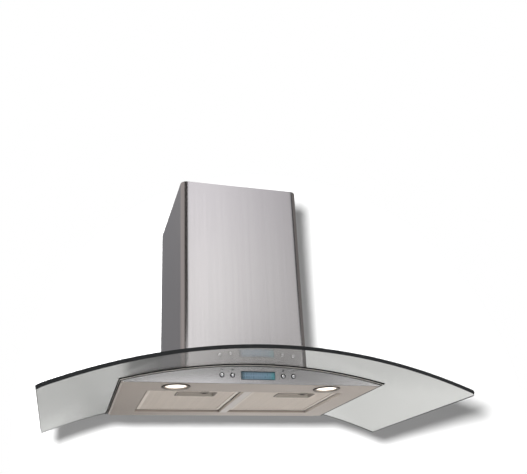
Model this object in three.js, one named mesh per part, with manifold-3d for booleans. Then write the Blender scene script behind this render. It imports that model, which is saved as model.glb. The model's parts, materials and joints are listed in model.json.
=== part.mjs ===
// Curved-glass wall hood: a shallow steel body with two grease filters and two lamps hangs under a bent
// glass sheet, and a blower box stands on the glass inside a telescopic chimney.
// Millimetres. x runs to the right, -y is the room side, +z is up. Inside the code z is counted from the
// body's underside and y from the wall; the last lines move the origin to the middle of the body's back.

import * as THREE from 'three';
import { mergeVertices } from 'three/addons/utils/BufferGeometryUtils.js';
import Module from 'manifold-3d';

const wasm = await Module();
wasm.setup();

// ---------------------------------------------------------------- driving sizes

// fits
const FIT_GAP = 0.3;              // between pieces that rest on each other
const SLIDE_GAP = 0.6;            // between pieces that slide in each other

// bent glass
const GLASS_WIDTH = 900;          // across the upper edges
const GLASS_FRONT = 550;          // wall to the middle of the front edge
const GLASS_FRONT_BOW = 4;        // the front corners lie this much further back
const GLASS_WALL_GAP = 30;        // wall to the rear edge
const GLASS_THICK = 8;
const BEND_RADIUS = 1190;         // of the underside
const GLASS_CORNER_R = 12;

// body under the glass
const SHEET = 1.2;                // body and fascia sheet
const BODY_WIDTH = 572;           // of the underside
const SIDE_HEIGHT = 7.62077291;   // glass above the underside's left and right edges
const BODY_SIDE_FLARE = 4;        // each side wall leans out by this
const BODY_FRONT = 419;           // wall to the fascia's face
const RIM_OVERHANG = 3.5;         // rim beyond the fascia and the side walls
const RIM_WIDTH = 22;             // top rim, front and sides
const REAR_RIM_WIDTH = 40;         // top rim at the wall
const REAR_STEP_DEPTH = 38;       // the underside steps up this far from the wall
const REAR_STEP_HEIGHT = 6;
const GASKET_THICK = 1.8;
const GASKET_WIDTH = 9;
const FASCIA_GAP = 1;             // shadow gap between rim and fascia
const REFERENCE_HEIGHT = 22;      // origin above the underside

// grease filters
const MIDDLE_RIB = 20;            // strip between the two filter openings
const FILTER_OPENING_WIDTH = 219;
const FILTER_FRONT = 335;         // wall to the openings' front edge
const FILTER_REAR = 80;           // wall to the openings' rear edge
const FILTER_FLANGE = 6;          // height of the turned-up edge round each opening
const FILTER_RECESS = 5;          // filter face above the underside
const FILTER_THICK = 9;
const FILTER_SIDE_GAP = 1.5;
const FILTER_REAR_GAP = 4;
const FILTER_RAIL = 11;           // visible width of the frame
const FILTER_WALL = 1.2;
const HANDLE_WIDTH = 88;
const HANDLE_DEPTH = 38;
const HANDLE_FROM_FRONT = 39;     // opening's front edge to the finger recess
const HANDLE_OFFSET = 10;         // finger recess to the right of the filter's middle
const LATCH_OFFSET = 28;          // latch to the right of the filter's middle
const LATCH_WIDTH = 18;
const LATCH_THICK = 2;
const LATCH_BITE = 4;             // tongue over the turned-up edge
const TAB_WIDTH = 20;
const TAB_SPACING = 120;

// lamps
const LAMP_X = 172;
const LAMP_FROM_WALL = 380;
const LAMP_BEZEL_R = 31;
const LAMP_LENS_R = 25.6;
const LAMP_HOLE_R = 27.5;
const LAMP_CAN_R = 29.6;
const LAMP_CAN_HEIGHT = 17.5;

// controls
const CONTROL_HEIGHT = 18;      // middle of display and buttons above the underside
const DISPLAY_WIDTH = 77;
const DISPLAY_HEIGHT = 19;
const BUTTON_R = 5.3;
const BUTTON_PROUD = 3;
const BUTTON_TRAVEL = 1.2;
const BUTTON_PLACES = [-80.5, -57, 57, 80.5];
const BOARD_WIDTH = 184;
const BOARD_HEIGHT = 27;
const BOARD_FROM_FASCIA = 9.5;    // fascia's back to the board's front

// blower box and its opening through the glass
const BOX_WIDTH = 266;
const BOX_DEPTH = 312;
const BOX_TOP = 330;
const BOX_SHEET = 1.2;
const BOX_FLANGE = 1.5;
const SEAL_THICK = 2;
const AIR_OPENING_WIDTH = 208;
const AIR_OPENING_FRONT = 284;    // wall to the opening's front edge
const AIR_OPENING_REAR = 60;
const AIR_OPENING_R = 18;
const BOLT_X = 120;
const BOLT_FRONT = 298;
const BOLT_REAR = 50;
const BOLT_R = 3;
const GLASS_HOLE_R = 6;
const PLATE_SHEET = 1;

// blower
const AXIS_HEIGHT = 176;
const SCROLL_HALF_WIDTH = 75.5;
const SCROLL_WALL = 2.5;
const SCROLL_GAP = 8;             // wheel to the scroll's wall at the tongue
const SCROLL_GROWTH = 44;         // the wall is this much further out at the outlet
const SCROLL_REAR_GAP = 36;       // wall of the room to the scroll
const SCROLL_TONGUE = 14;         // tongue behind the wheel's axis
const INLET_R = 62;
const WHEEL_R = 74;
const WHEEL_INNER_R = 61;
const WHEEL_HALF_WIDTH = 68;
const BLADES = 20;
const BLADE_THICK = 1.4;
const MOTOR_R = 44;
const MOTOR_LENGTH = 69.4;
const SHAFT_R = 4;

// outlet
const SPIGOT_R = 74.5;
const SPIGOT_WALL = 1.6;
const SPIGOT_HEIGHT = 50;
const SPIGOT_FLANGE_R = 86;
const FLAP_AXIS_RISE = 24;        // flap rod above the spigot's base
const FLAP_ROD_R = 1.5;
const FLAP_THICK = 1;

// chimney
const CHIMNEY_WIDTH = 304;
const CHIMNEY_DEPTH = 330;
const CHIMNEY_TOP = 533;
const CHIMNEY_SHEET = 1;
const CHIMNEY_BEND_R = 16;
const CHIMNEY_RETURN = 8;         // rear edges turned inwards
const UPPER_TOP = 531;
const UPPER_BOTTOM = 70;
const VENT_SLOTS = 6;

// ---------------------------------------------------------------- materials

function finish(color, roughness, metalness, extra = {}) {
  return new THREE.MeshStandardMaterial({ color, roughness, metalness, ...extra });
}

const steel = finish(0xb4b2b4, 0.36, 0.9);
const undersideSteel = finish(0xa39b93, 0.42, 0.85);
const galvanised = finish(0x9da3a6, 0.5, 0.8);
const tintedGlass = finish(0xb9c2ba, 0.05, 0, { transparent: true, opacity: 0.5 });
const blackRubber = finish(0x17181a, 0.8, 0);
const blackPlastic = finish(0x25272a, 0.55, 0);
const whitePlastic = finish(0xe4e2dc, 0.5, 0);
const filterAluminium = finish(0xc6bfb5, 0.45, 0.75);
const chromed = finish(0xd9dadc, 0.12, 1);
const motorSteel = finish(0x6f7376, 0.45, 0.7);
const boardGreen = finish(0x2f6b45, 0.6, 0);
const displayBlue = finish(0x6fa3c8, 0.25, 0, { emissive: 0x2d5f86 });
const lampGlass = finish(0xfff6e2, 0.3, 0, { emissive: 0xfff0d0 });
const zincSteel = finish(0xb9b6a8, 0.4, 0.85);

// ---------------------------------------------------------------- geometry helpers

function solid(geometry) {
  const bare = geometry.index ? geometry.toNonIndexed() : geometry.clone();
  bare.deleteAttribute('normal');
  bare.deleteAttribute('uv');
  const merged = mergeVertices(bare, 1e-4);
  const vertProperties = new Float32Array(merged.attributes.position.array);
  const triVerts = new Uint32Array(merged.index.array);
  return new wasm.Manifold(new wasm.Mesh({ numProp: 3, vertProperties, triVerts }));
}

function geometryOf(manifold) {
  const mesh = manifold.getMesh();
  const geometry = new THREE.BufferGeometry();
  geometry.setAttribute('position', new THREE.BufferAttribute(mesh.vertProperties, 3));
  geometry.setIndex(new THREE.BufferAttribute(mesh.triVerts, 1));
  geometry.computeVertexNormals();
  return geometry;
}

function joined(...solids) {
  return solids.reduce((sum, next) => sum.add(next));
}

function cut(body, ...tools) {
  return tools.reduce((left, tool) => left.subtract(tool), body);
}

function block(x0, x1, y0, y1, z0, z1) {
  const geometry = new THREE.BoxGeometry(x1 - x0, y1 - y0, z1 - z0);
  geometry.translate((x0 + x1) / 2, (y0 + y1) / 2, (z0 + z1) / 2);
  return solid(geometry);
}

function extruded(shape, length, curveSegments) {
  return new THREE.ExtrudeGeometry(shape, { depth: length, bevelEnabled: false, curveSegments });
}

// shape in x, y
function alongZ(shape, z0, z1, curveSegments = 8) {
  const geometry = extruded(shape, z1 - z0, curveSegments);
  geometry.translate(0, 0, z0);
  return solid(geometry);
}

// shape in x, z
function alongY(shape, y0, y1, curveSegments = 8) {
  const geometry = extruded(shape, y1 - y0, curveSegments);
  geometry.rotateX(Math.PI / 2);
  geometry.translate(0, y1, 0);
  return solid(geometry);
}

// shape in y, z
function alongX(shape, x0, x1, curveSegments = 8) {
  const geometry = extruded(shape, x1 - x0, curveSegments);
  geometry.applyMatrix4(new THREE.Matrix4().set(0, 0, 1, x0, 1, 0, 0, 0, 0, 1, 0, 0, 0, 0, 0, 1));
  return solid(geometry);
}

function polygon(points) {
  return new THREE.Shape(points.map(([u, v]) => new THREE.Vector2(u, v)));
}

function rectangle(u0, u1, v0, v1, radius = 0) {
  if (radius === 0) {
    return polygon([[u0, v0], [u1, v0], [u1, v1], [u0, v1]]);
  }
  const shape = new THREE.Shape();
  shape.moveTo(u0 + radius, v0);
  shape.lineTo(u1 - radius, v0);
  shape.absarc(u1 - radius, v0 + radius, radius, -Math.PI / 2, 0);
  shape.lineTo(u1, v1 - radius);
  shape.absarc(u1 - radius, v1 - radius, radius, 0, Math.PI / 2);
  shape.lineTo(u0 + radius, v1);
  shape.absarc(u0 + radius, v1 - radius, radius, Math.PI / 2, Math.PI);
  shape.lineTo(u0, v0 + radius);
  shape.absarc(u0 + radius, v0 + radius, radius, Math.PI, 1.5 * Math.PI);
  return shape;
}

// closed profile of [radius, height] points turned about z, in either order
function turned(profile, segments = 32) {
  const next = (index) => profile[(index + 1) % profile.length];
  const area = profile.reduce((sum, [r, h], index) => sum + r * next(index)[1] - next(index)[0] * h, 0);
  const outward = area > 0 ? profile : [...profile].reverse();
  const points = [...outward, outward[0]].map(([r, h]) => new THREE.Vector2(r, h));
  const geometry = new THREE.LatheGeometry(points, segments);
  geometry.rotateX(Math.PI / 2);
  return geometry;
}

function turnedAt(profile, x, y, z, segments) {
  const geometry = turned(profile, segments);
  geometry.translate(x, y, z);
  return solid(geometry);
}

// the profile's height runs along +x
function turnedAlongX(profile, x, y, z, segments) {
  const geometry = turned(profile, segments);
  geometry.rotateY(Math.PI / 2);
  geometry.translate(x, y, z);
  return solid(geometry);
}

// the profile's height runs along -y
function turnedTowardsRoom(profile, x, y, z, segments) {
  const geometry = turned(profile, segments);
  geometry.rotateX(Math.PI / 2);
  geometry.translate(x, y, z);
  return solid(geometry);
}

function rod(r, h0, h1) {
  return [[0, h0], [r, h0], [r, h1], [0, h1]];
}

function pipe(r0, r1, h0, h1) {
  return [[r0, h0], [r1, h0], [r1, h1], [r0, h1]];
}

const hood = new THREE.Group();
hood.position.z = -REFERENCE_HEIGHT;

function piece(name, form, material, parent = hood) {
  const geometry = form.isBufferGeometry ? form : geometryOf(form);
  const mesh = new THREE.Mesh(geometry, material);
  mesh.name = name;
  parent.add(mesh);
  return mesh;
}

// ---------------------------------------------------------------- the bend that everything follows

// glass underside above the body's underside on the centre line
const GLASS_CROWN = SIDE_HEIGHT + BEND_RADIUS - Math.sqrt(BEND_RADIUS ** 2 - (BODY_WIDTH / 2) ** 2);
const BEND_CENTRE_Z = GLASS_CROWN - BEND_RADIUS;
const BEND_STEPS = 9;
const BEND_FACET = 50;            // a wider sheet takes more steps, so that its flats stay as short

function bendSteps(halfWidth) {
  return Math.max(BEND_STEPS, Math.ceil(halfWidth / BEND_FACET));
}

// height of the surface that lies `offset` above the glass underside, at x
function bendHeight(x, offset) {
  const radius = BEND_RADIUS + offset;
  return BEND_CENTRE_Z + Math.sqrt(radius * radius - x * x);
}

function bendArc(shape, halfWidth, offset, fromRight) {
  const radius = BEND_RADIUS + offset;
  const lean = Math.asin(halfWidth / radius);
  const start = Math.PI / 2 + (fromRight ? -lean : lean);
  const end = Math.PI / 2 + (fromRight ? lean : -lean);
  shape.absarc(0, BEND_CENTRE_Z, radius, start, end, !fromRight);
}

// everything below the bent surface at `offset`, from z0 up, with side walls that lean out by `flare`
function underBend(halfWidth, flare, z0, offset, y0, y1) {
  const shape = new THREE.Shape();
  shape.moveTo(-halfWidth, z0);
  shape.lineTo(halfWidth, z0);
  bendArc(shape, halfWidth + flare, offset, true);
  return alongY(shape, y0, y1, bendSteps(halfWidth));
}

// bent sheet between two offsets; its ends are square to the sheet
function bentSheet(halfWidth, offset0, offset1, y0, y1) {
  const shape = new THREE.Shape();
  const lower = halfWidth * (BEND_RADIUS + offset0) / (BEND_RADIUS + offset1);
  bendArc(shape, lower, offset0, false);
  bendArc(shape, halfWidth, offset1, true);
  return alongY(shape, y0, y1, bendSteps(halfWidth));
}

// how the layers stack up, as offsets from the glass underside
const RIM_TOP = -(GASKET_THICK + 2 * FIT_GAP);
const RIM_UNDER = RIM_TOP - SHEET;
const PLATE_TOP = RIM_UNDER - FIT_GAP;
const PLATE_UNDER = PLATE_TOP - PLATE_SHEET;
const SEAL_UNDER = GLASS_THICK + FIT_GAP;
const SEAL_TOP = SEAL_UNDER + SEAL_THICK;
const FLANGE_UNDER = SEAL_TOP + FIT_GAP;
const FLANGE_TOP = FLANGE_UNDER + BOX_FLANGE;

const BODY_HALF = BODY_WIDTH / 2;
const RIM_HALF = BODY_HALF + BODY_SIDE_FLARE + RIM_OVERHANG;
const RIM_FRONT = BODY_FRONT + RIM_OVERHANG;
const HIGH = 900;                 // taller than anything, for cutting tools

function airOpening(z0, z1, margin = 0) {
  const half = AIR_OPENING_WIDTH / 2 + margin;
  const shape = rectangle(-half, half, -AIR_OPENING_FRONT - margin, -AIR_OPENING_REAR + margin, AIR_OPENING_R);
  return alongZ(shape, z0, z1, 2);
}

const boltPlaces = [
  [-BOLT_X, -BOLT_FRONT],
  [BOLT_X, -BOLT_FRONT],
  [-BOLT_X, -BOLT_REAR],
  [BOLT_X, -BOLT_REAR],
];

function boltHoles(radius, segments = 12) {
  return boltPlaces.map(([x, y]) => turnedAt(rod(radius, -20, HIGH), x, y, 0, segments));
}

// ---------------------------------------------------------------- glass

function glassOutline() {
  const half = GLASS_WIDTH / 2 + 1;
  const corner = GLASS_FRONT - GLASS_FRONT_BOW;
  const bowRadius = (half * half + GLASS_FRONT_BOW * GLASS_FRONT_BOW) / (2 * GLASS_FRONT_BOW);
  const lean = Math.asin(half / bowRadius);
  const centreY = -GLASS_FRONT + bowRadius;
  const shape = new THREE.Shape();
  shape.moveTo(half, -GLASS_WALL_GAP);
  shape.lineTo(-half, -GLASS_WALL_GAP);
  shape.lineTo(-half, -corner);
  shape.absarc(0, centreY, bowRadius, 1.5 * Math.PI - lean, 1.5 * Math.PI + lean, false);
  return shape;
}

function cornerCut(side) {
  const edge = GLASS_WIDTH / 2;
  const front = -(GLASS_FRONT - GLASS_FRONT_BOW);
  const waste = block(
    Math.min(side * (edge - GLASS_CORNER_R), side * (edge + 5)),
    Math.max(side * (edge - GLASS_CORNER_R), side * (edge + 5)),
    front - 5,
    front + GLASS_CORNER_R,
    -200,
    HIGH,
  );
  const round = turnedAt(rod(GLASS_CORNER_R, -201, HIGH + 1), side * (edge - GLASS_CORNER_R), front + GLASS_CORNER_R, 0, 20);
  return waste.subtract(round);
}

function glassCanopy() {
  const sheet = bentSheet(GLASS_WIDTH / 2, 0, GLASS_THICK, -GLASS_FRONT - 1, -GLASS_WALL_GAP + 1);
  const outlined = sheet.intersect(alongZ(glassOutline(), -200, HIGH, 4));
  return cut(outlined, cornerCut(-1), cornerCut(1), airOpening(0, HIGH), ...boltHoles(GLASS_HOLE_R));
}

piece('glass_canopy', glassCanopy(), tintedGlass);

function lowerGasket() {
  const rear = GLASS_WALL_GAP + FIT_GAP;
  const ring = bentSheet(RIM_HALF, RIM_TOP + FIT_GAP, -FIT_GAP, -RIM_FRONT, -rear);
  const inner = block(
    -RIM_HALF + GASKET_WIDTH,
    RIM_HALF - GASKET_WIDTH,
    -RIM_FRONT + GASKET_WIDTH,
    -rear - GASKET_WIDTH,
    -20,
    HIGH,
  );
  return ring.subtract(inner);
}

piece('glass_gasket', lowerGasket(), blackRubber);

function upperSeal() {
  const half = BOX_WIDTH / 2 - 2;
  const ring = bentSheet(half, SEAL_UNDER, SEAL_TOP, -BOX_DEPTH + 2, -GLASS_WALL_GAP - 4);
  return cut(ring, airOpening(0, HIGH), ...boltHoles(BOLT_R + 0.5));
}

piece('box_seal', upperSeal(), blackRubber);

// ---------------------------------------------------------------- body

const CASING_FRONT = BODY_FRONT - SHEET - FIT_GAP;

function filterOpening(side, grow, z0, z1) {
  const near = MIDDLE_RIB / 2 - grow;
  const far = MIDDLE_RIB / 2 + FILTER_OPENING_WIDTH + grow;
  const x0 = side > 0 ? near : -far;
  const x1 = side > 0 ? far : -near;
  return block(x0, x1, -FILTER_FRONT - grow, -FILTER_REAR + grow, z0, z1);
}

function controlWindow(y0, y1) {
  return block(-BOARD_WIDTH / 2 - 4, BOARD_WIDTH / 2 + 4, y0, y1, 3, CONTROL_HEIGHT + BOARD_HEIGHT / 2 + 1);
}

function bodyCasing() {
  const outer = underBend(BODY_HALF, BODY_SIDE_FLARE, 0, RIM_TOP, -CASING_FRONT, 0);
  const hollow = underBend(BODY_HALF - SHEET, BODY_SIDE_FLARE, SHEET, RIM_UNDER, -CASING_FRONT + SHEET, -SHEET);
  const rim = bentSheet(RIM_HALF, RIM_UNDER, RIM_TOP, -RIM_FRONT, 0);
  const topOpening = block(
    -RIM_HALF + RIM_WIDTH,
    RIM_HALF - RIM_WIDTH,
    -RIM_FRONT + RIM_WIDTH,
    -REAR_RIM_WIDTH,
    FILTER_FLANGE + 0.5,
    HIGH,
  );
  // the underside steps up near the wall
  const stepWaste = block(-RIM_HALF, RIM_HALF, -REAR_STEP_DEPTH, 1, -1, REAR_STEP_HEIGHT);
  const stepFront = -REAR_STEP_DEPTH - SHEET;
  const stepSkin = joined(
    block(-RIM_HALF, RIM_HALF, stepFront, 0, REAR_STEP_HEIGHT, REAR_STEP_HEIGHT + SHEET),
    block(-RIM_HALF, RIM_HALF, stepFront, -REAR_STEP_DEPTH, 0, REAR_STEP_HEIGHT + SHEET),
  ).intersect(outer);
  const tray = joined(cut(outer, hollow), rim, stepSkin);
  const flanges = [-1, 1].map((side) => cut(
    filterOpening(side, SHEET, 0, FILTER_FLANGE),
    filterOpening(side, 0, -1, FILTER_FLANGE + 1),
  ));
  const openings = [-1, 1].map((side) => filterOpening(side, 0, -1, SHEET + 1));
  const lampHoles = [-1, 1].map((side) => turnedAt(rod(LAMP_HOLE_R, -1, SHEET + 1), side * LAMP_X, -LAMP_FROM_WALL, 0, 24));
  return cut(
    joined(tray, ...flanges),
    topOpening,
    stepWaste,
    ...openings,
    ...lampHoles,
    controlWindow(-CASING_FRONT - 1, -CASING_FRONT + SHEET + 1),
  );
}

piece('body_casing', bodyCasing(), undersideSteel);

function topPlate() {
  const half = BODY_HALF - 6;
  const rear = -REAR_STEP_DEPTH - SHEET - 0.8;
  const sheet = bentSheet(half, PLATE_UNDER, PLATE_TOP, -CASING_FRONT + SHEET + 4, rear);
  const nuts = boltPlaces.map(([x, y]) => turnedAt(
    rod(6, bendHeight(BOLT_X, PLATE_UNDER) - 6, bendHeight(BOLT_X, PLATE_UNDER) + 0.4),
    x,
    y,
    0,
    6,
  ));
  return cut(joined(sheet, ...nuts), airOpening(0, HIGH, 2), ...boltHoles(BOLT_R + 0.4));
}

piece('top_plate', topPlate(), galvanised);

function fascia() {
  const top = RIM_UNDER - FASCIA_GAP;
  const sheet = underBend(BODY_HALF - 0.2, BODY_SIDE_FLARE, 0, top, -BODY_FRONT, -BODY_FRONT + SHEET);
  const window = block(
    -DISPLAY_WIDTH / 2,
    DISPLAY_WIDTH / 2,
    -BODY_FRONT - 1,
    -BODY_FRONT + SHEET + 1,
    CONTROL_HEIGHT - DISPLAY_HEIGHT / 2,
    CONTROL_HEIGHT + DISPLAY_HEIGHT / 2,
  );
  const buttonHoles = BUTTON_PLACES.map((x) => turnedTowardsRoom(
    rod(BUTTON_R + FIT_GAP, -SHEET - 1, 1),
    x,
    -BODY_FRONT,
    CONTROL_HEIGHT,
    14,
  ));
  const postX = BOARD_WIDTH / 2 - 4;
  const postZ = BOARD_HEIGHT / 2 - 3.5;
  const posts = [[-postX, -postZ], [postX, -postZ], [-postX, postZ], [postX, postZ]].map(([x, z]) => turnedTowardsRoom(
    rod(2.2, -SHEET - BOARD_FROM_FASCIA + FIT_GAP, -SHEET / 2),
    x,
    -BODY_FRONT,
    CONTROL_HEIGHT + z,
    8,
  ));
  return joined(cut(sheet, window, ...buttonHoles), ...posts);
}

piece('fascia_panel', fascia(), steel);

// ---------------------------------------------------------------- controls

const BOARD_FACE = -BODY_FRONT + SHEET + BOARD_FROM_FASCIA;
const SWITCH_HEIGHT = 3.5;

function controlBoard() {
  const board = block(
    -BOARD_WIDTH / 2,
    BOARD_WIDTH / 2,
    BOARD_FACE,
    BOARD_FACE + 1.6,
    CONTROL_HEIGHT - BOARD_HEIGHT / 2,
    CONTROL_HEIGHT + BOARD_HEIGHT / 2,
  );
  const switches = BUTTON_PLACES.map((x) => turnedTowardsRoom(
    rod(3, -0.5, SWITCH_HEIGHT),
    x,
    BOARD_FACE,
    CONTROL_HEIGHT,
    10,
  ));
  const chip = block(-20, -8, BOARD_FACE + 1, BOARD_FACE + 3.6, CONTROL_HEIGHT - 6, CONTROL_HEIGHT + 6);
  const relays = [18, 36].map((x) => block(x, x + 14, BOARD_FACE + 1, BOARD_FACE + 11, CONTROL_HEIGHT - 9, CONTROL_HEIGHT + 7));
  return joined(board, ...switches, chip, ...relays);
}

piece('control_board', controlBoard(), boardGreen);

piece('display_module', block(
  -DISPLAY_WIDTH / 2 - 2,
  DISPLAY_WIDTH / 2 + 2,
  -BODY_FRONT + SHEET + FIT_GAP,
  BOARD_FACE - FIT_GAP,
  CONTROL_HEIGHT - DISPLAY_HEIGHT / 2 - 2,
  CONTROL_HEIGHT + DISPLAY_HEIGHT / 2 + 2,
), displayBlue);

piece('display_window', block(
  -DISPLAY_WIDTH / 2 + FIT_GAP,
  DISPLAY_WIDTH / 2 - FIT_GAP,
  -BODY_FRONT + 0.2,
  -BODY_FRONT + SHEET,
  CONTROL_HEIGHT - DISPLAY_HEIGHT / 2 + FIT_GAP,
  CONTROL_HEIGHT + DISPLAY_HEIGHT / 2 - FIT_GAP,
), tintedGlass);

// domed cap with a collar behind the fascia and a stem that reaches the switch
function button(x) {
  const stemEnd = -(SHEET + BOARD_FROM_FASCIA - SWITCH_HEIGHT - BUTTON_TRAVEL - 2 * FIT_GAP);
  const collar = -(SHEET + FIT_GAP);
  return turnedTowardsRoom([
    [0, stemEnd],
    [2, stemEnd],
    [2, collar - 1],
    [BUTTON_R + 1.3, collar - 1],
    [BUTTON_R + 1.3, collar],
    [BUTTON_R, collar],
    [BUTTON_R, BUTTON_PROUD * 0.4],
    [BUTTON_R * 0.7, BUTTON_PROUD * 0.85],
    [0, BUTTON_PROUD],
  ], x, -BODY_FRONT, CONTROL_HEIGHT, 14);
}

BUTTON_PLACES.forEach((x, index) => piece(`button_${index + 1}`, button(x), chromed));

// ---------------------------------------------------------------- lamps

function lamp(side, name) {
  const x = side * LAMP_X;
  const y = -LAMP_FROM_WALL;
  const seat = LAMP_LENS_R - 1.8;
  piece(`lamp_bezel_${name}`, turnedAt([
    [seat, -0.6],
    [seat + 0.9, -2],
    [LAMP_BEZEL_R - 1.8, -2],
    [LAMP_BEZEL_R, -0.9],
    [LAMP_BEZEL_R, -FIT_GAP],
    [LAMP_HOLE_R - 0.4, -FIT_GAP],
    [LAMP_HOLE_R - 0.4, 6],
    [LAMP_LENS_R + FIT_GAP, 6],
    [LAMP_LENS_R + FIT_GAP, 1.8],
    [seat, 1.8],
  ], x, y, 0, 20), chromed);
  const lensSeat = 1.8 + FIT_GAP;
  piece(`lamp_lens_${name}`, turnedAt([
    [0, 0.1],
    [seat * 0.6, 0.5],
    [seat - FIT_GAP, 1.4],
    [seat - FIT_GAP, lensSeat],
    [LAMP_LENS_R, lensSeat],
    [LAMP_LENS_R, lensSeat + 1.5],
    [0, lensSeat + 1.5],
  ], x, y, 0, 20), lampGlass);
  const canBase = SHEET + FIT_GAP;
  const canTop = canBase + LAMP_CAN_HEIGHT;
  piece(`lamp_can_${name}`, turnedAt([
    [0, canTop - 5],
    [6, canTop - 5],
    [6, canTop - 1],
    [LAMP_CAN_R - 4, canTop - 1],
    [LAMP_CAN_R - 1, canTop - 4],
    [LAMP_CAN_R - 1, canBase + 1],
    [LAMP_CAN_R - 1.6, canBase],
    [LAMP_CAN_R, canBase],
    [LAMP_CAN_R, canTop - 3.6],
    [LAMP_CAN_R - 3.6, canTop],
    [0, canTop],
  ], x, y, 0, 18), galvanised);
  piece(`lamp_bulb_${name}`, turnedAt([
    [0, canTop - 12.5],
    [3, canTop - 12],
    [4.4, canTop - 10],
    [4.4, canTop - 6.6],
    [3, canTop - 5.3],
    [0, canTop - 5.3],
  ], x, y, 0, 10), lampGlass);
}

lamp(-1, 'left');
lamp(1, 'right');

// ballast of the lamps, on the floor of the body behind the controls
function lampTransformer() {
  const base = SHEET + FIT_GAP;
  const housing = block(-112, -36, -390, -350, base, base + 20);
  const feet = block(-120, -28, -378, -362, base, base + 2);
  return joined(housing, feet);
}

piece('lamp_transformer', lampTransformer(), blackPlastic);

// ---------------------------------------------------------------- blower box

const BOX_HALF = BOX_WIDTH / 2;
const SCROLL_START_R = WHEEL_R + SCROLL_GAP;
const SCROLL_END_R = SCROLL_START_R + SCROLL_GROWTH;
const AXIS_FROM_WALL = SCROLL_REAR_GAP + SCROLL_END_R;
const SPIGOT_Y = -(AXIS_FROM_WALL - (SCROLL_TONGUE + SCROLL_END_R) / 2);
const SPIGOT_BORE = SPIGOT_R - SPIGOT_WALL;
const HOOK_X = 98;
const HOOK_WIDTH = 30;
const HOOK_DROP = 58;
const HOOK_TOP = 296;
const HOOK_SHEET = 2.5;

function hookSlot(x) {
  return block(
    x - HOOK_WIDTH / 2 - 1.5,
    x + HOOK_WIDTH / 2 + 1.5,
    -BOX_SHEET - 1,
    1,
    HOOK_TOP - HOOK_DROP - 1.5,
    HOOK_TOP + FIT_GAP,
  );
}

function fanBox() {
  const outer = cut(
    block(-BOX_HALF, BOX_HALF, -BOX_DEPTH, 0, 0, BOX_TOP),
    underBend(RIM_HALF, 0, -20, FLANGE_UNDER, -BOX_DEPTH - 1, 1),
  );
  const hollow = cut(
    block(-BOX_HALF + BOX_SHEET, BOX_HALF - BOX_SHEET, -BOX_DEPTH + BOX_SHEET, -BOX_SHEET, 0, BOX_TOP - BOX_SHEET),
    underBend(RIM_HALF, 0, -20, FLANGE_TOP, -BOX_DEPTH - 1, 1),
  );
  // the back sheet runs on down behind the glass to the body's rim
  const apron = cut(
    block(-BOX_HALF, BOX_HALF, -BOX_SHEET, 0, 0, BOX_TOP / 2),
    underBend(RIM_HALF, 0, -20, RIM_TOP + FIT_GAP, -BOX_SHEET - 1, 1),
  );
  return cut(
    joined(cut(outer, hollow), apron),
    airOpening(0, BOX_TOP / 2),
    ...boltHolesInFlange(),
    turnedAt(rod(SPIGOT_BORE, BOX_TOP - BOX_SHEET - 1, BOX_TOP + 1), 0, SPIGOT_Y, 0, 24),
    hookSlot(-HOOK_X),
    hookSlot(HOOK_X),
  );
}

function boltHolesInFlange() {
  return boltPlaces.map(([x, y]) => turnedAt(rod(BOLT_R + 0.5, 0, BOX_TOP / 2), x, y, 0, 12));
}

piece('fan_box', fanBox(), galvanised);

// a hook screwed to the wall; the box's slot sits on its upper edge
function wallHook(x) {
  const profile = polygon([
    [0, HOOK_TOP - HOOK_DROP],
    [0, HOOK_TOP],
    [-5, HOOK_TOP],
    [-5, HOOK_TOP + 14],
    [-5 - HOOK_SHEET, HOOK_TOP + 14],
    [-5 - HOOK_SHEET, HOOK_TOP - HOOK_SHEET],
    [-HOOK_SHEET, HOOK_TOP - HOOK_SHEET],
    [-HOOK_SHEET, HOOK_TOP - HOOK_DROP],
  ]);
  const strip = alongX(profile, x - HOOK_WIDTH / 2, x + HOOK_WIDTH / 2);
  const screwHole = turnedTowardsRoom(rod(3.5, -1, HOOK_SHEET + 1), x, 0, HOOK_TOP - 38, 16);
  return strip.subtract(screwHole);
}

piece('wall_hook_left', wallHook(-HOOK_X), zincSteel);
piece('wall_hook_right', wallHook(HOOK_X), zincSteel);

// bolts through flange, glass and top plate, each in a rubber bush that keeps steel off the glass
function glassBolt([x, y]) {
  const headBase = bendHeight(BOLT_X - 6.5, FLANGE_TOP) + FIT_GAP;
  const tip = bendHeight(BOLT_X, PLATE_UNDER) - 9;
  const head = turnedAt(pipe(0, 6.5, headBase, headBase + 4.5), x, y, 0, 6);
  const shank = turnedAt(rod(BOLT_R, tip, headBase + 1), x, y, 0, 12);
  return joined(head, shank);
}

function glassBush([x, y]) {
  const pad = turnedAt(rod(9, 0, HIGH), x, y, 0, 12)
    .intersect(bentSheet(BODY_HALF, PLATE_TOP + FIT_GAP, -FIT_GAP, -RIM_FRONT, 0));
  const sleeve = turnedAt(rod(GLASS_HOLE_R - FIT_GAP, 0, HIGH), x, y, 0, 12)
    .intersect(bentSheet(BODY_HALF, -FIT_GAP - 0.5, GLASS_THICK, -RIM_FRONT, 0));
  return cut(joined(pad, sleeve), turnedAt(rod(BOLT_R + FIT_GAP, -1, HIGH + 1), x, y, 0, 12));
}

boltPlaces.forEach((place, index) => {
  piece(`glass_bolt_${index + 1}`, glassBolt(place), zincSteel);
  piece(`glass_bush_${index + 1}`, glassBush(place), blackRubber);
});

// ---------------------------------------------------------------- blower

const AXIS_Y = -AXIS_FROM_WALL;
const SCROLL_TOP = BOX_TOP - BOX_SHEET - FIT_GAP;
const SPIRAL_STEPS = 20;

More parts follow.
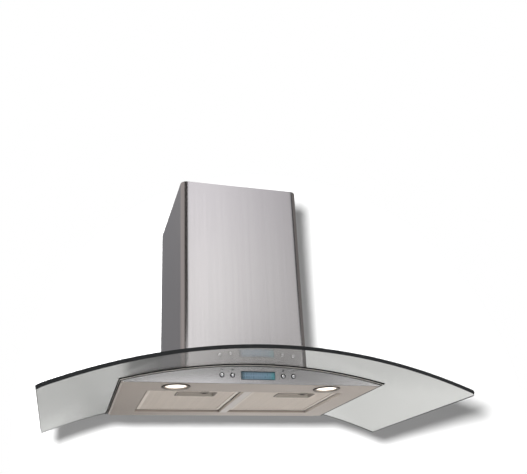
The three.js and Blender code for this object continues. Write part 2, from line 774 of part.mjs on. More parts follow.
// spiral that grows from the tongue, round the front and the bottom, to the straight outlet at the rear
function scrollOutline(offset, top) {
  const inner = SCROLL_TONGUE - offset;
  const start = Math.acos(inner / (SCROLL_START_R + offset));
  const points = [];
  for (let step = 0; step <= SPIRAL_STEPS; step += 1) {
    const share = step / SPIRAL_STEPS;
    const angle = start + share * (2 * Math.PI - start);
    const radius = SCROLL_START_R + share * (SCROLL_END_R - SCROLL_START_R) + offset;
    points.push([AXIS_Y + radius * Math.cos(angle), AXIS_HEIGHT + radius * Math.sin(angle)]);
  }
  points.push([AXIS_Y + SCROLL_END_R + offset, top]);
  points.push([AXIS_Y + inner, top]);
  return polygon(points);
}

function scrollHalf(side) {
  const seam = FIT_GAP / 2;
  const inside = SCROLL_HALF_WIDTH - SCROLL_WALL;
  const place = (shape, near, far) => (
    side > 0 ? alongX(shape, near, far) : alongX(shape, -far, -near)
  );
  const shell = place(scrollOutline(SCROLL_WALL, SCROLL_TOP), seam, SCROLL_HALF_WIDTH);
  const hollow = place(scrollOutline(0, SCROLL_TOP + 5), seam - 1, inside);
  // rounded inlet ring that leads the air into the wheel
  const ring = turnedAlongX([
    [INLET_R, 0],
    [INLET_R + 6, 0],
    [INLET_R + 6, SCROLL_WALL],
    [INLET_R + 2.2, SCROLL_WALL + 0.8],
    [INLET_R + 1.6, SCROLL_WALL + 3],
    [INLET_R, SCROLL_WALL + 3],
  ].map(([r, h]) => [r, side * (SCROLL_HALF_WIDTH - h)]), 0, AXIS_Y, AXIS_HEIGHT, 22);
  const inlet = turnedAlongX(rod(INLET_R + 0.5, -90, 90), 0, AXIS_Y, AXIS_HEIGHT, 22);
  return cut(shell, hollow, inlet).add(ring);
}

piece('scroll_left', scrollHalf(-1), blackPlastic);
piece('scroll_right', scrollHalf(1), blackPlastic);

// forward-curved blade between the wheel's rings
function bladeShape(turn) {
  const rows = [0, 0.5, 1].map((share) => {
    const radius = WHEEL_INNER_R + 1 + share * (WHEEL_R - WHEEL_INNER_R - 2);
    const sweep = 0.19 * share * share;
    return [radius, turn + sweep];
  });
  const front = rows.map(([radius, angle]) => [
    AXIS_Y + radius * Math.cos(angle),
    AXIS_HEIGHT + radius * Math.sin(angle),
  ]);
  const back = rows.reverse().map(([radius, angle]) => [
    AXIS_Y + radius * Math.cos(angle - BLADE_THICK / radius),
    AXIS_HEIGHT + radius * Math.sin(angle - BLADE_THICK / radius),
  ]);
  return polygon([...front, ...back]);
}

const HUB_R = 13;
const DISC_HALF = 1.2;

function impeller() {
  const ringWidth = 2.5;
  const rings = [-1, 1].map((side) => turnedAlongX(
    pipe(WHEEL_INNER_R, WHEEL_R, Math.min(side * WHEEL_HALF_WIDTH, side * (WHEEL_HALF_WIDTH - ringWidth)),
      Math.max(side * WHEEL_HALF_WIDTH, side * (WHEEL_HALF_WIDTH - ringWidth))),
    0,
    AXIS_Y,
    AXIS_HEIGHT,
    BLADES,
  ));
  const disc = turnedAlongX([
    [SHAFT_R, -DISC_HALF],
    [WHEEL_R - 0.5, -DISC_HALF],
    [WHEEL_R - 0.5, DISC_HALF],
    [HUB_R, DISC_HALF],
    [HUB_R - 2, 22],
    [SHAFT_R, 22],
  ], 0, AXIS_Y, AXIS_HEIGHT, BLADES);
  const blades = [];
  for (let index = 0; index < BLADES; index += 1) {
    const turn = (index / BLADES) * 2 * Math.PI;
    blades.push(alongX(bladeShape(turn), -WHEEL_HALF_WIDTH + 1, WHEEL_HALF_WIDTH - 1));
  }
  return joined(disc, ...rings, ...blades);
}

piece('impeller', cut(
  impeller(),
  turnedAlongX(rod(SHAFT_R + FIT_GAP, -20, 40), 0, AXIS_Y, AXIS_HEIGHT, 16),
), whitePlastic);

const MOTOR_NEAR = -6;
const MOTOR_FAR = MOTOR_NEAR - MOTOR_LENGTH;

piece('motor_shaft', turnedAlongX([
  [0, MOTOR_NEAR - 12],
  [SHAFT_R, MOTOR_NEAR - 12],
  [SHAFT_R, 22.3],
  [7, 22.3],
  [7, 27],
  [SHAFT_R, 27],
  [SHAFT_R, 30],
  [0, 30],
], 0, AXIS_Y, AXIS_HEIGHT, 12), zincSteel);

piece('motor', turnedAlongX([
  [0, MOTOR_FAR],
  [20, MOTOR_FAR],
  [MOTOR_R - 8, MOTOR_FAR + 4],
  [MOTOR_R - 4, MOTOR_FAR + 14],
  [MOTOR_R, MOTOR_FAR + 15],
  [MOTOR_R, MOTOR_NEAR - 15],
  [MOTOR_R - 4, MOTOR_NEAR - 14],
  [MOTOR_R - 8, MOTOR_NEAR - 4],
  [12, MOTOR_NEAR],
  [SHAFT_R + FIT_GAP, MOTOR_NEAR],
  [SHAFT_R + FIT_GAP, MOTOR_NEAR - 14],
  [0, MOTOR_NEAR - 14],
], 0, AXIS_Y, AXIS_HEIGHT, 18), motorSteel);

// three-armed bracket that carries the motor in the left inlet
function motorBracket() {
  const face = -SCROLL_HALF_WIDTH - FIT_GAP;
  const thick = 3;
  const hub = turnedAlongX(pipe(9, 22, face - thick, face), 0, AXIS_Y, AXIS_HEIGHT, 24);
  const arms = [90, 210, 330].map((degrees) => {
    const angle = THREE.MathUtils.degToRad(degrees);
    const arm = new THREE.BoxGeometry(thick, INLET_R + 12 - 16, 12);
    arm.translate(face - thick / 2, 16 + (INLET_R + 12 - 16) / 2, 0);
    arm.rotateX(angle);
    arm.translate(0, AXIS_Y, AXIS_HEIGHT);
    return solid(arm);
  });
  return joined(hub, ...arms);
}

piece('motor_bracket', motorBracket(), galvanised);

function motorCapacitor() {
  const canR = 14;
  const x = BOX_HALF - BOX_SHEET - FIT_GAP - canR;
  const z = 118;
  const can = turnedTowardsRoom([
    [0, 0],
    [canR, 0],
    [canR, 58],
    [canR - 2, 60],
    [0, 60],
  ], x, -60, z, 20);
  const lugs = [-5, 5].map((offset) => block(x + offset - 0.4, x + offset + 0.4, -60.5, -52, z - 3, z + 3));
  return joined(can, ...lugs);
}

piece('motor_capacitor', motorCapacitor(), whitePlastic);

// ---------------------------------------------------------------- electrical connection on the box

const TERMINAL_BASE = BOX_TOP + FIT_GAP;
const TERMINAL_HEIGHT = 34;
const TERMINAL_HALF = 48;
const TERMINAL_FRONT = -300;
const TERMINAL_REAR = -200;
const GLAND_Z = TERMINAL_BASE + TERMINAL_HEIGHT / 2;
const GLAND_Y = (TERMINAL_FRONT + TERMINAL_REAR) / 2;

function terminalBox() {
  const top = TERMINAL_BASE + TERMINAL_HEIGHT;
  const shell = block(-TERMINAL_HALF, TERMINAL_HALF, TERMINAL_FRONT, TERMINAL_REAR, TERMINAL_BASE, top);
  const hollow = block(
    -TERMINAL_HALF + 2,
    TERMINAL_HALF - 2,
    TERMINAL_FRONT + 2,
    TERMINAL_REAR - 2,
    TERMINAL_BASE + 2,
    top + 1,
  );
  const strip = block(-22, 22, GLAND_Y - 8, GLAND_Y + 8, TERMINAL_BASE + 1, TERMINAL_BASE + 16);
  const inletHole = turnedAlongX(rod(8, -TERMINAL_HALF - 5, -TERMINAL_HALF + 5), 0, GLAND_Y, GLAND_Z, 16);
  return cut(joined(cut(shell, hollow), strip), inletHole);
}

piece('terminal_box', terminalBox(), blackPlastic);

piece('terminal_lid', joined(
  block(
    -TERMINAL_HALF,
    TERMINAL_HALF,
    TERMINAL_FRONT,
    TERMINAL_REAR,
    TERMINAL_BASE + TERMINAL_HEIGHT + FIT_GAP,
    TERMINAL_BASE + TERMINAL_HEIGHT + FIT_GAP + 2,
  ),
  block(
    -TERMINAL_HALF + 2.4,
    TERMINAL_HALF - 2.4,
    TERMINAL_FRONT + 2.4,
    TERMINAL_REAR - 2.4,
    TERMINAL_BASE + TERMINAL_HEIGHT - 2,
    TERMINAL_BASE + TERMINAL_HEIGHT + 1,
  ),
), blackPlastic);

piece('cable_gland', turnedAlongX([
  [4.5, -TERMINAL_HALF - 20],
  [7, -TERMINAL_HALF - 20],
  [9, -TERMINAL_HALF - 15],
  [9, -TERMINAL_HALF - 8],
  [11, -TERMINAL_HALF - 8],
  [11, -TERMINAL_HALF - FIT_GAP],
  [7.6, -TERMINAL_HALF - FIT_GAP],
  [7.6, -TERMINAL_HALF + 8],
  [4.5, -TERMINAL_HALF + 8],
], 0, GLAND_Y, GLAND_Z, 12), blackPlastic);

// ---------------------------------------------------------------- outlet spigot and its two flaps

const SPIGOT_BASE = BOX_TOP + FIT_GAP;
const FLAP_Z = SPIGOT_BASE + FLAP_AXIS_RISE;
const LEDGE_TOP = FLAP_AXIS_RISE - FLAP_THICK / 2 - FIT_GAP;

function outletSpigot() {
  const shell = turnedAt([
    [SPIGOT_BORE, 0],
    [SPIGOT_FLANGE_R, 0],
    [SPIGOT_FLANGE_R, 2],
    [SPIGOT_R, 2],
    [SPIGOT_R, SPIGOT_HEIGHT],
    [SPIGOT_BORE, SPIGOT_HEIGHT],
    [SPIGOT_BORE, LEDGE_TOP],
    [SPIGOT_BORE - 4, LEDGE_TOP],
    [SPIGOT_BORE - 4, LEDGE_TOP - 1],
    [SPIGOT_BORE, LEDGE_TOP - 5],
  ], 0, SPIGOT_Y, SPIGOT_BASE, 24);
  const rodHole = turnedAlongX(rod(FLAP_ROD_R + FIT_GAP, -SPIGOT_FLANGE_R, SPIGOT_FLANGE_R), 0, SPIGOT_Y, FLAP_Z, 12);
  return shell.subtract(rodHole);
}

piece('outlet_spigot', outletSpigot(), blackPlastic);
piece('flap_rod', turnedAlongX(rod(FLAP_ROD_R, -SPIGOT_R, SPIGOT_R), 0, SPIGOT_Y, FLAP_Z, 12), zincSteel);

// half disc that hinges on the rod by two knuckles; `knuckles` are their places along the rod
function flap(side, knuckles) {
  const radius = SPIGOT_BORE - 0.8;
  const clear = 4;
  const edge = Math.asin(clear / radius);
  const shape = new THREE.Shape();
  if (side > 0) {
    shape.absarc(0, SPIGOT_Y, radius, edge, Math.PI - edge, false);
  } else {
    shape.absarc(0, SPIGOT_Y, radius, Math.PI + edge, 2 * Math.PI - edge, false);
  }
  const plate = alongZ(shape, FLAP_Z - FLAP_THICK / 2, FLAP_Z + FLAP_THICK / 2, 6);
  const loops = knuckles.map((x) => turnedAlongX(pipe(FLAP_ROD_R + FIT_GAP, 3.2, x - 8, x + 8), 0, SPIGOT_Y, FLAP_Z, 8));
  const straps = knuckles.map((x) => block(
    x - 8,
    x + 8,
    Math.min(SPIGOT_Y + side * 2.4, SPIGOT_Y + side * 6),
    Math.max(SPIGOT_Y + side * 2.4, SPIGOT_Y + side * 6),
    FLAP_Z - FLAP_THICK / 2,
    FLAP_Z + FLAP_THICK / 2,
  ));
  return joined(plate, ...loops, ...straps);
}

piece('flap_rear', flap(1, [-46, 46]), whitePlastic);
piece('flap_front', flap(-1, [-18, 18]), whitePlastic);

// ---------------------------------------------------------------- chimney

// folded cover, open at the wall, in plan
function coverPlan(half, depth, sheet, returnWidth) {
  const outline = new THREE.Shape();
  const bend = CHIMNEY_BEND_R;
  const innerBend = Math.max(bend - sheet, 0.5);
  outline.moveTo(half, 0);
  outline.lineTo(half - returnWidth, 0);
  outline.lineTo(half - returnWidth, -sheet);
  outline.lineTo(half - sheet, -sheet);
  outline.lineTo(half - sheet, -depth + sheet + innerBend);
  outline.absarc(half - sheet - innerBend, -depth + sheet + innerBend, innerBend, 0, -Math.PI / 2, true);
  outline.lineTo(-half + sheet + innerBend, -depth + sheet);
  outline.absarc(-half + sheet + innerBend, -depth + sheet + innerBend, innerBend, -Math.PI / 2, -Math.PI, true);
  outline.lineTo(-half + sheet, -sheet);
  outline.lineTo(-half + returnWidth, -sheet);
  outline.lineTo(-half + returnWidth, 0);
  outline.lineTo(-half, 0);
  outline.lineTo(-half, -depth + bend);
  outline.absarc(-half + bend, -depth + bend, bend, -Math.PI, -Math.PI / 2, false);
  outline.lineTo(half - bend, -depth);
  outline.absarc(half - bend, -depth + bend, bend, -Math.PI / 2, 0, false);
  return outline;
}

function chimneyLower() {
  const plan = coverPlan(CHIMNEY_WIDTH / 2, CHIMNEY_DEPTH, CHIMNEY_SHEET, CHIMNEY_RETURN);
  const cover = alongZ(plan, 0, CHIMNEY_TOP, 2);
  return cover.subtract(underBend(RIM_HALF, 0, -20, GLASS_THICK + FIT_GAP, -RIM_FRONT, 1));
}

piece('chimney_lower', chimneyLower(), steel);

const UPPER_HALF = CHIMNEY_WIDTH / 2 - CHIMNEY_SHEET - SLIDE_GAP;
const UPPER_DEPTH = CHIMNEY_DEPTH - CHIMNEY_SHEET - SLIDE_GAP;
const UPPER_FROM_WALL = CHIMNEY_SHEET + FIT_GAP;

// rows of slots let the air out at the sides where the hood recirculates
function chimneyUpper() {
  const depth = UPPER_DEPTH - UPPER_FROM_WALL;
  const plan = coverPlan(UPPER_HALF, depth, CHIMNEY_SHEET, CHIMNEY_RETURN);
  const slots = [];
  for (let index = 0; index < VENT_SLOTS; index += 1) {
    const z = UPPER_TOP - 36 - index * 12;
    slots.push(block(-UPPER_HALF - 1, UPPER_HALF + 1, -240, -90, z, z + 5));
  }
  return cut(alongZ(plan, UPPER_BOTTOM, UPPER_TOP, 2).translate([0, -UPPER_FROM_WALL, 0]), ...slots);
}

piece('chimney_upper', chimneyUpper(), steel);

// channel at the top of the upper cover, which is screwed to the wall under the ceiling
function chimneyBracket() {
  const sheet = 2;
  const wallHalf = UPPER_HALF - CHIMNEY_RETURN - SLIDE_GAP;
  const sideHalf = UPPER_HALF - CHIMNEY_SHEET - FIT_GAP;
  const jog = UPPER_FROM_WALL + CHIMNEY_SHEET + FIT_GAP;
  const half = [
    [wallHalf - 2.4, 0],
    [wallHalf, -jog],
    [sideHalf, -jog],
    [sideHalf, -26],
    [sideHalf - sheet, -26],
    [sideHalf - sheet, -jog - sheet],
    [wallHalf - 0.8, -jog - sheet],
    [wallHalf - 3.2, -sheet],
  ];
  const mirrored = half.map(([x, y]) => [-x, y]).reverse();
  const channel = alongZ(polygon([...half, ...mirrored]), UPPER_TOP - 26, UPPER_TOP - 2);
  const screwHoles = [-80, 80].map((x) => turnedTowardsRoom(rod(3.5, -1, sheet + 1), x, 0, UPPER_TOP - 14, 16));
  return cut(channel, ...screwHoles);
}

piece('chimney_bracket', chimneyBracket(), zincSteel);

// ---------------------------------------------------------------- filters

const FILTER_Z0 = FILTER_RECESS;
const FILTER_Z1 = FILTER_RECESS + FILTER_THICK;
const FILTER_HALF = FILTER_OPENING_WIDTH / 2 - FILTER_SIDE_GAP;
const FILTER_Y0 = -FILTER_FRONT + FILTER_SIDE_GAP;
const FILTER_Y1 = -FILTER_REAR - FILTER_REAR_GAP;
const TONGUE_Z0 = FILTER_FLANGE + SLIDE_GAP;
const TONGUE_Z1 = TONGUE_Z0 + LATCH_THICK;
const RECESS_Y0 = -FILTER_FRONT + HANDLE_FROM_FRONT;
const RECESS_Y1 = RECESS_Y0 + HANDLE_DEPTH;
const LATCH_TRAVEL = 5;

function filter(side, name) {
  const middle = side * (MIDDLE_RIB + FILTER_OPENING_WIDTH) / 2;
  const latchX = middle + LATCH_OFFSET;
  const handleX = middle + HANDLE_OFFSET;
  const tongueSlot = block(
    latchX - LATCH_WIDTH / 2 - 0.5,
    latchX + LATCH_WIDTH / 2 + 0.5,
    FILTER_Y0 - 1,
    RECESS_Y0 + 3,
    TONGUE_Z0 - 0.5,
    TONGUE_Z1 + 0.5,
  );

  // C-shaped rails round the mesh
  const rails = cut(
    block(middle - FILTER_HALF, middle + FILTER_HALF, FILTER_Y0, FILTER_Y1, FILTER_Z0, FILTER_Z1),
    block(
      middle - FILTER_HALF + FILTER_RAIL,
      middle + FILTER_HALF - FILTER_RAIL,
      FILTER_Y0 + FILTER_RAIL,
      FILTER_Y1 - FILTER_RAIL,
      FILTER_Z0 - 1,
      FILTER_Z1 + 1,
    ),
    block(
      middle - FILTER_HALF + FILTER_WALL,
      middle + FILTER_HALF - FILTER_WALL,
      FILTER_Y0 + FILTER_WALL,
      FILTER_Y1 - FILTER_WALL,
      FILTER_Z0 + FILTER_WALL,
      FILTER_Z1 - FILTER_WALL,
    ),
    tongueSlot,
  );
  // tabs that hang on the turned-up rear edge of the opening
  const tabs = [-TAB_SPACING / 2, TAB_SPACING / 2].map((x) => block(
    middle + x - TAB_WIDTH / 2,
    middle + x + TAB_WIDTH / 2,
    FILTER_Y1 - FILTER_WALL,
    -FILTER_REAR + SHEET + 5,
    FILTER_FLANGE + 0.9,
    FILTER_FLANGE + 2.3,
  ));
  piece(`filter_frame_${name}`, joined(rails, ...tabs), filterAluminium);

  // folded layers of expanded mesh, taken together
  const pack = cut(
    block(
      middle - FILTER_HALF + FILTER_WALL + FIT_GAP,
      middle + FILTER_HALF - FILTER_WALL - FIT_GAP,
      FILTER_Y0 + FILTER_WALL + FIT_GAP,
      FILTER_Y1 - FILTER_WALL - FIT_GAP,
      FILTER_Z0 + FILTER_WALL + FIT_GAP,
      FILTER_Z1 - FILTER_WALL - FIT_GAP,
    ),
    block(
      handleX - HANDLE_WIDTH / 2 - FIT_GAP,
      handleX + HANDLE_WIDTH / 2 + FIT_GAP,
      RECESS_Y0 - FIT_GAP,
      RECESS_Y1 + FIT_GAP,
      0,
      FILTER_Z1 + 1,
    ),
    tongueSlot,
  );
  piece(`filter_mesh_${name}`, pack, filterAluminium);

  // finger recess, open downwards
  const cupTop = FILTER_Z1 - 0.6;
  const cup = cut(
    block(handleX - HANDLE_WIDTH / 2, handleX + HANDLE_WIDTH / 2, RECESS_Y0, RECESS_Y1, FILTER_Z0, cupTop),
    block(
      handleX - HANDLE_WIDTH / 2 + 1.2,
      handleX + HANDLE_WIDTH / 2 - 1.2,
      RECESS_Y0 + 1.2,
      RECESS_Y1 - 1.2,
      FILTER_Z0 - 1,
      cupTop - 1,
    ),
    tongueSlot,
  );
  piece(`filter_handle_${name}`, cup, filterAluminium);

  // sliding latch: a tongue through the front rail and a finger pad in the recess
  const tongue = block(
    latchX - LATCH_WIDTH / 2,
    latchX + LATCH_WIDTH / 2,
    -FILTER_FRONT - LATCH_BITE,
    RECESS_Y0 + 13,
    TONGUE_Z0,
    TONGUE_Z1,
  );
  const pad = block(latchX - 5, latchX + 5, RECESS_Y0 + 6, RECESS_Y0 + 13, FILTER_Z0 + 0.4, TONGUE_Z0 + 0.5);
  piece(`filter_latch_${name}`, joined(tongue, pad), blackPlastic);
}

filter(-1, 'left');
filter(1, 'right');

export default hood;
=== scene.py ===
"""Looks of the curved-glass wall hood: a bent glass canopy, a slim brushed-steel body with filters and
lamps under it, and a telescopic chimney above it. Metres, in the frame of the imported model."""

import json
import math

import bpy
import bmesh
from mathutils import Matrix, Vector


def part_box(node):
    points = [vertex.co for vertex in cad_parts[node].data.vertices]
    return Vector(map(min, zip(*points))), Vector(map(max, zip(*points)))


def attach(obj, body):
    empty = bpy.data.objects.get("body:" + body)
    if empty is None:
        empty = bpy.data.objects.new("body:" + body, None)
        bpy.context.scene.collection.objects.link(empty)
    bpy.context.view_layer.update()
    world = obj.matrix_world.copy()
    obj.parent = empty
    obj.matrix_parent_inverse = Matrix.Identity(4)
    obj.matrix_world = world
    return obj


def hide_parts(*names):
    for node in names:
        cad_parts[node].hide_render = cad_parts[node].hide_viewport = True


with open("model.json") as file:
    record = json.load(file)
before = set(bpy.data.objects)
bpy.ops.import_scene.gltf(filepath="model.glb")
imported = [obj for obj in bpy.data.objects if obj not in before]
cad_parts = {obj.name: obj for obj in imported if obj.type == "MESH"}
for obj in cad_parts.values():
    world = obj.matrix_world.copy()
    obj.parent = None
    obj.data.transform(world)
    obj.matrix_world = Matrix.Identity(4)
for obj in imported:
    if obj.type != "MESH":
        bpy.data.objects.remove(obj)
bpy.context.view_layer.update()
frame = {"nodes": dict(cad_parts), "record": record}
scene = bpy.context.scene
nodes = frame["nodes"]

MM = 0.001
UNDERSIDE = -22 * MM              # underside of the body, seen from the origin on its back

# the photograph's camera, in metres, degrees and pixels of its frame
PHOTO_WIDTH, PHOTO_HEIGHT = 527, 474
CAMERA_PLACE = (-0.39683, -1.75052, -0.32387)
CAMERA_YAW, CAMERA_PITCH, CAMERA_ROLL = 17.3049, 22.1095, -2.783
FOCAL_PIXELS = 651.334
CENTRE_PIXEL = (261.095, 270.563)
SENSOR_WIDTH = 36                 # millimetres

# the bend of the glass, which body rim, gasket and chimney follow
BEND_RADIUS = 1190 * MM
GLASS_CROWN = 42.5 * MM + UNDERSIDE
BEND_CENTRE = GLASS_CROWN - BEND_RADIUS
GLASS_THICK = 8 * MM
GLASS_HALF = 450 * MM
GLASS_FRONT = 550 * MM
GLASS_BOW = 4 * MM
GLASS_REAR = 30 * MM
GLASS_CORNER = 12 * MM
GLASS_COLUMNS, GLASS_ROWS, CORNER_STEPS = 96, 8, 8

# what is cut through the glass under the blower box
AIR_WAY_HALF = 104 * MM
AIR_WAY_FRONT, AIR_WAY_REAR = -284 * MM, -60 * MM
GLASS_BOLT_X = 120 * MM
GLASS_BOLT_Y = (-298 * MM, -50 * MM)
GLASS_HOLE_RADIUS = 6 * MM

# rim of the body, the gasket on it and the filter openings under it
RIM_HALF = 293.5 * MM
RIM_FRONT = 422.5 * MM
GASKET_BACK = 30.3 * MM
RIM_STEPS_ACROSS, RIM_STEPS_DEEP = 90, 12
LIP_AT_SIDES, LIP_AT_REAR = 0.45, 0.3             # shares of how far the gasket's lip stands out in front
OPENING_FRONT, OPENING_REAR = -335 * MM, -80 * MM

# lower chimney cover
CHIMNEY_HALF = 152 * MM
CHIMNEY_DEPTH = 330 * MM
CHIMNEY_TOP = 533 * MM + UNDERSIDE
CHIMNEY_BEND = 16 * MM
CHIMNEY_SHEET = 1 * MM
CHIMNEY_RETURN = 8 * MM
CHIMNEY_GAP = 0.3 * MM            # between its foot and the glass
CHIMNEY_STEP = 6 * MM
BEND_STEPS = 12
BLOWER_BOX_TOP = 308 * MM

# filters
FRAME_REAR = -84 * MM
TAB_APART = 120 * MM
MESH_PITCH_X, MESH_PITCH_Y = 6.4 * MM, 4.0 * MM
STRAND_WIDTH, STRAND_THICK = 0.9 * MM, 0.5 * MM

# lamps, and the controls on the fascia
LAMPS = (("left", -172 * MM), ("right", 172 * MM))
LAMP_Y = -380 * MM
BUTTONS = (-80.5 * MM, -57 * MM, 57 * MM, 80.5 * MM)
FASCIA = -419 * MM
CONTROL_Z = 18 * MM + UNDERSIDE
DISPLAY_HALF = 38.5 * MM
DISPLAY_BOTTOM, DISPLAY_TOP = -13.5 * MM, 5.5 * MM

# finishes: depth of the brush lines, and how soft the borders of the body's tones are
BRUSH_DEPTH = 0.006 * MM
MASK_SOFTNESS = 0.2 * MM
MIX_FIRST, MIX_SECOND, MIX_COLOR = 6, 7, 2        # colour sockets of a Mix node

# studio, in metres
STUDIO_LEFT, STUDIO_RIGHT, STUDIO_FRONT = -2.2, 3.0, -2.6
FLOOR_Z = -1.2
WALL_Y = 4.25
EVEN = ((-3, (1, 1, 1)), (3, (1, 1, 1)))


def bend_height(x, offset):
    """Height of the surface that lies offset above the glass underside."""
    return BEND_CENTRE + math.sqrt((BEND_RADIUS + offset) ** 2 - x * x)


# ---------------------------------------------------------------- camera

def add_camera():
    yaw, pitch, roll = (math.radians(angle) for angle in (CAMERA_YAW, CAMERA_PITCH, CAMERA_ROLL))
    forward = Vector((math.sin(yaw) * math.cos(pitch), math.cos(yaw) * math.cos(pitch), math.sin(pitch)))
    level = Vector((math.cos(yaw), -math.sin(yaw), 0))
    up = level.cross(forward)
    right = level * math.cos(roll) + up * math.sin(roll)
    top = up * math.cos(roll) - level * math.sin(roll)
    data = bpy.data.cameras.new("photo_camera")
    data.sensor_fit = "HORIZONTAL"
    data.sensor_width = SENSOR_WIDTH
    data.lens = SENSOR_WIDTH * FOCAL_PIXELS / PHOTO_WIDTH
    data.shift_x = (PHOTO_WIDTH / 2 - CENTRE_PIXEL[0]) / PHOTO_WIDTH
    data.shift_y = (CENTRE_PIXEL[1] - PHOTO_HEIGHT / 2) / PHOTO_WIDTH
    data.clip_start = 0.05
    data.clip_end = 60
    camera = bpy.data.objects.new("photo_camera", data)
    turn = Matrix((right, top, -forward)).transposed().to_4x4()
    camera.matrix_world = Matrix.Translation(CAMERA_PLACE) @ turn
    scene.collection.objects.link(camera)
    scene.camera = camera


# ---------------------------------------------------------------- material helpers

class Nodes:
    """A shader node tree, with short ways to add, link and combine its nodes."""

    def __init__(self, owner):
        owner.use_nodes = True
        self.tree = owner.node_tree
        self.tree.nodes.clear()

    def add(self, kind, **settings):
        node = self.tree.nodes.new(kind)
        for key, value in settings.items():
            setattr(node, key, value)
        return node

    def link(self, source, target):
        self.tree.links.new(source, target)

    def show(self, shader, output_kind="ShaderNodeOutputMaterial"):
        self.link(shader, self.add(output_kind).inputs["Surface"])

    def coordinates(self, scale=(1, 1, 1), turn=(0, 0, 0), move=(0, 0, 0)):
        place = self.add("ShaderNodeTexCoord")
        mapping = self.add("ShaderNodeMapping")
        mapping.inputs["Scale"].default_value = scale
        mapping.inputs["Rotation"].default_value = turn
        mapping.inputs["Location"].default_value = move
        self.link(place.outputs["Object"], mapping.inputs["Vector"])
        return mapping.outputs["Vector"]

    def axes(self):
        """The place on the object, as separate x, y and z."""
        split = self.add("ShaderNodeSeparateXYZ")
        self.link(self.coordinates(), split.inputs["Vector"])
        return [split.outputs[axis] for axis in "XYZ"]

    def distance(self, point, scale=(1, 1, 1)):
        """How far the place on the object is from a point, in metres."""
        apart = self.add("ShaderNodeVectorMath", operation="DISTANCE")
        self.link(self.coordinates(scale=scale), apart.inputs[0])
        apart.inputs[1].default_value = point
        return apart.outputs["Value"]

    def noise(self, where, scale, detail, roughness):
        texture = self.add("ShaderNodeTexNoise")
        texture.inputs["Scale"].default_value = scale
        texture.inputs["Detail"].default_value = detail
        texture.inputs["Roughness"].default_value = roughness
        self.link(where, texture.inputs["Vector"])
        return texture.outputs["Fac"]

    def brush_lines(self, grain, along=6, across=1600, detail=3, roughness=0.6):
        """Noise drawn out along one axis, like the lines that brushing leaves."""
        scale = tuple(along if axis == grain else across for axis in "xyz")
        return self.noise(self.coordinates(scale=scale), 1, detail, roughness)

    def spread(self, value, low, high, start=0.3, end=0.7):
        """Goes from low to high as the value goes from start to end."""
        span = self.add("ShaderNodeMapRange")
        span.inputs["From Min"].default_value = start
        span.inputs["From Max"].default_value = end
        span.inputs["To Min"].default_value = low
        span.inputs["To Max"].default_value = high
        self.link(value, span.inputs["Value"])
        return span.outputs["Result"]

    def ramp(self, value, stops):
        ramp = self.add("ShaderNodeValToRGB")
        points = ramp.color_ramp.elements
        while len(points) < len(stops):
            points.new(0.5)
        for point, (place, color) in zip(points, stops):
            point.position = place
            point.color = (*color, 1)
        self.link(value, ramp.inputs["Fac"])
        return ramp.outputs["Color"]

    def long_ramp(self, value, stops):
        """Colour ramp whose stops are places in metres."""
        low, high = stops[0][0], stops[-1][0]
        shares = [((place - low) / (high - low), color) for place, color in stops]
        return self.ramp(self.spread(value, 0, 1, low, high), shares)

    def combine(self, operation, *values):
        node = self.add("ShaderNodeMath", operation=operation)
        for socket, value in zip(node.inputs, values):
            self.link(value, socket)
        return node.outputs[0]

    def blend(self, share, first, second, kind="MIX"):
        """Colour that goes from first to second with the share; each is an output or a plain value."""
        mix = self.add("ShaderNodeMix", data_type="RGBA", blend_type=kind)
        sockets = (mix.inputs["Factor"], mix.inputs[MIX_FIRST], mix.inputs[MIX_SECOND])
        for socket, value in zip(sockets, (share, first, second)):
            if isinstance(value, bpy.types.NodeSocket):
                self.link(value, socket)
            else:
                socket.default_value = value
        return mix.outputs[MIX_COLOR]

    def either(self, share, first, second):
        """Shader that goes from first to second with the share."""
        mix = self.add("ShaderNodeMixShader")
        for socket, source in zip(mix.inputs, (share, first, second)):
            self.link(source, socket)
        return mix.outputs[0]

    def by_ray(self, kinds, seen, unseen):
        """Shader that is `seen` for the named rays and `unseen` for the rest."""
        path = self.add("ShaderNodeLightPath")
        total = path.outputs[kinds[0]]
        for kind in kinds[1:]:
            total = self.combine("MAXIMUM", total, path.outputs[kind])
        return self.either(total, unseen, seen)


class Finish(Nodes):
    """A material with one Principled shader, and short ways to set or drive its sockets."""

    def __init__(self, name, color, roughness, metallic=0.0, **sockets):
        self.material = bpy.data.materials.new(name)
        super().__init__(self.material)
        self.shader = self.add("ShaderNodeBsdfPrincipled")
        self.show(self.shader.outputs["BSDF"])
        self.set("Base Color", (*color, 1))
        self.set("Roughness", roughness)
        self.set("Metallic", metallic)
        for socket, value in sockets.items():
            self.set(socket.replace("_", " "), value)

    def set(self, socket, value):
        self.shader.inputs[socket].default_value = value

    def drive(self, socket, output):
        self.link(output, self.shader.inputs[socket])

    def uneven(self, value, color, contrast):
        """The colour, a little darker or paler where the value is low or high."""
        return self.ramp(value, [(0.3, shade(color, 1 - contrast)), (0.7, shade(color, 1 + contrast))])

    def bump(self, height, strength, distance):
        bump = self.add("ShaderNodeBump")
        bump.inputs["Strength"].default_value = strength
        bump.inputs["Distance"].default_value = distance
        self.link(height, bump.inputs["Height"])
        self.drive("Normal", bump.outputs["Normal"])


def shade(color, factor):
    return tuple(min(1.0, c * factor) for c in color)


def grey(value, warm=0.0):
    return (value * (1 + warm), value, value * (1 - warm))


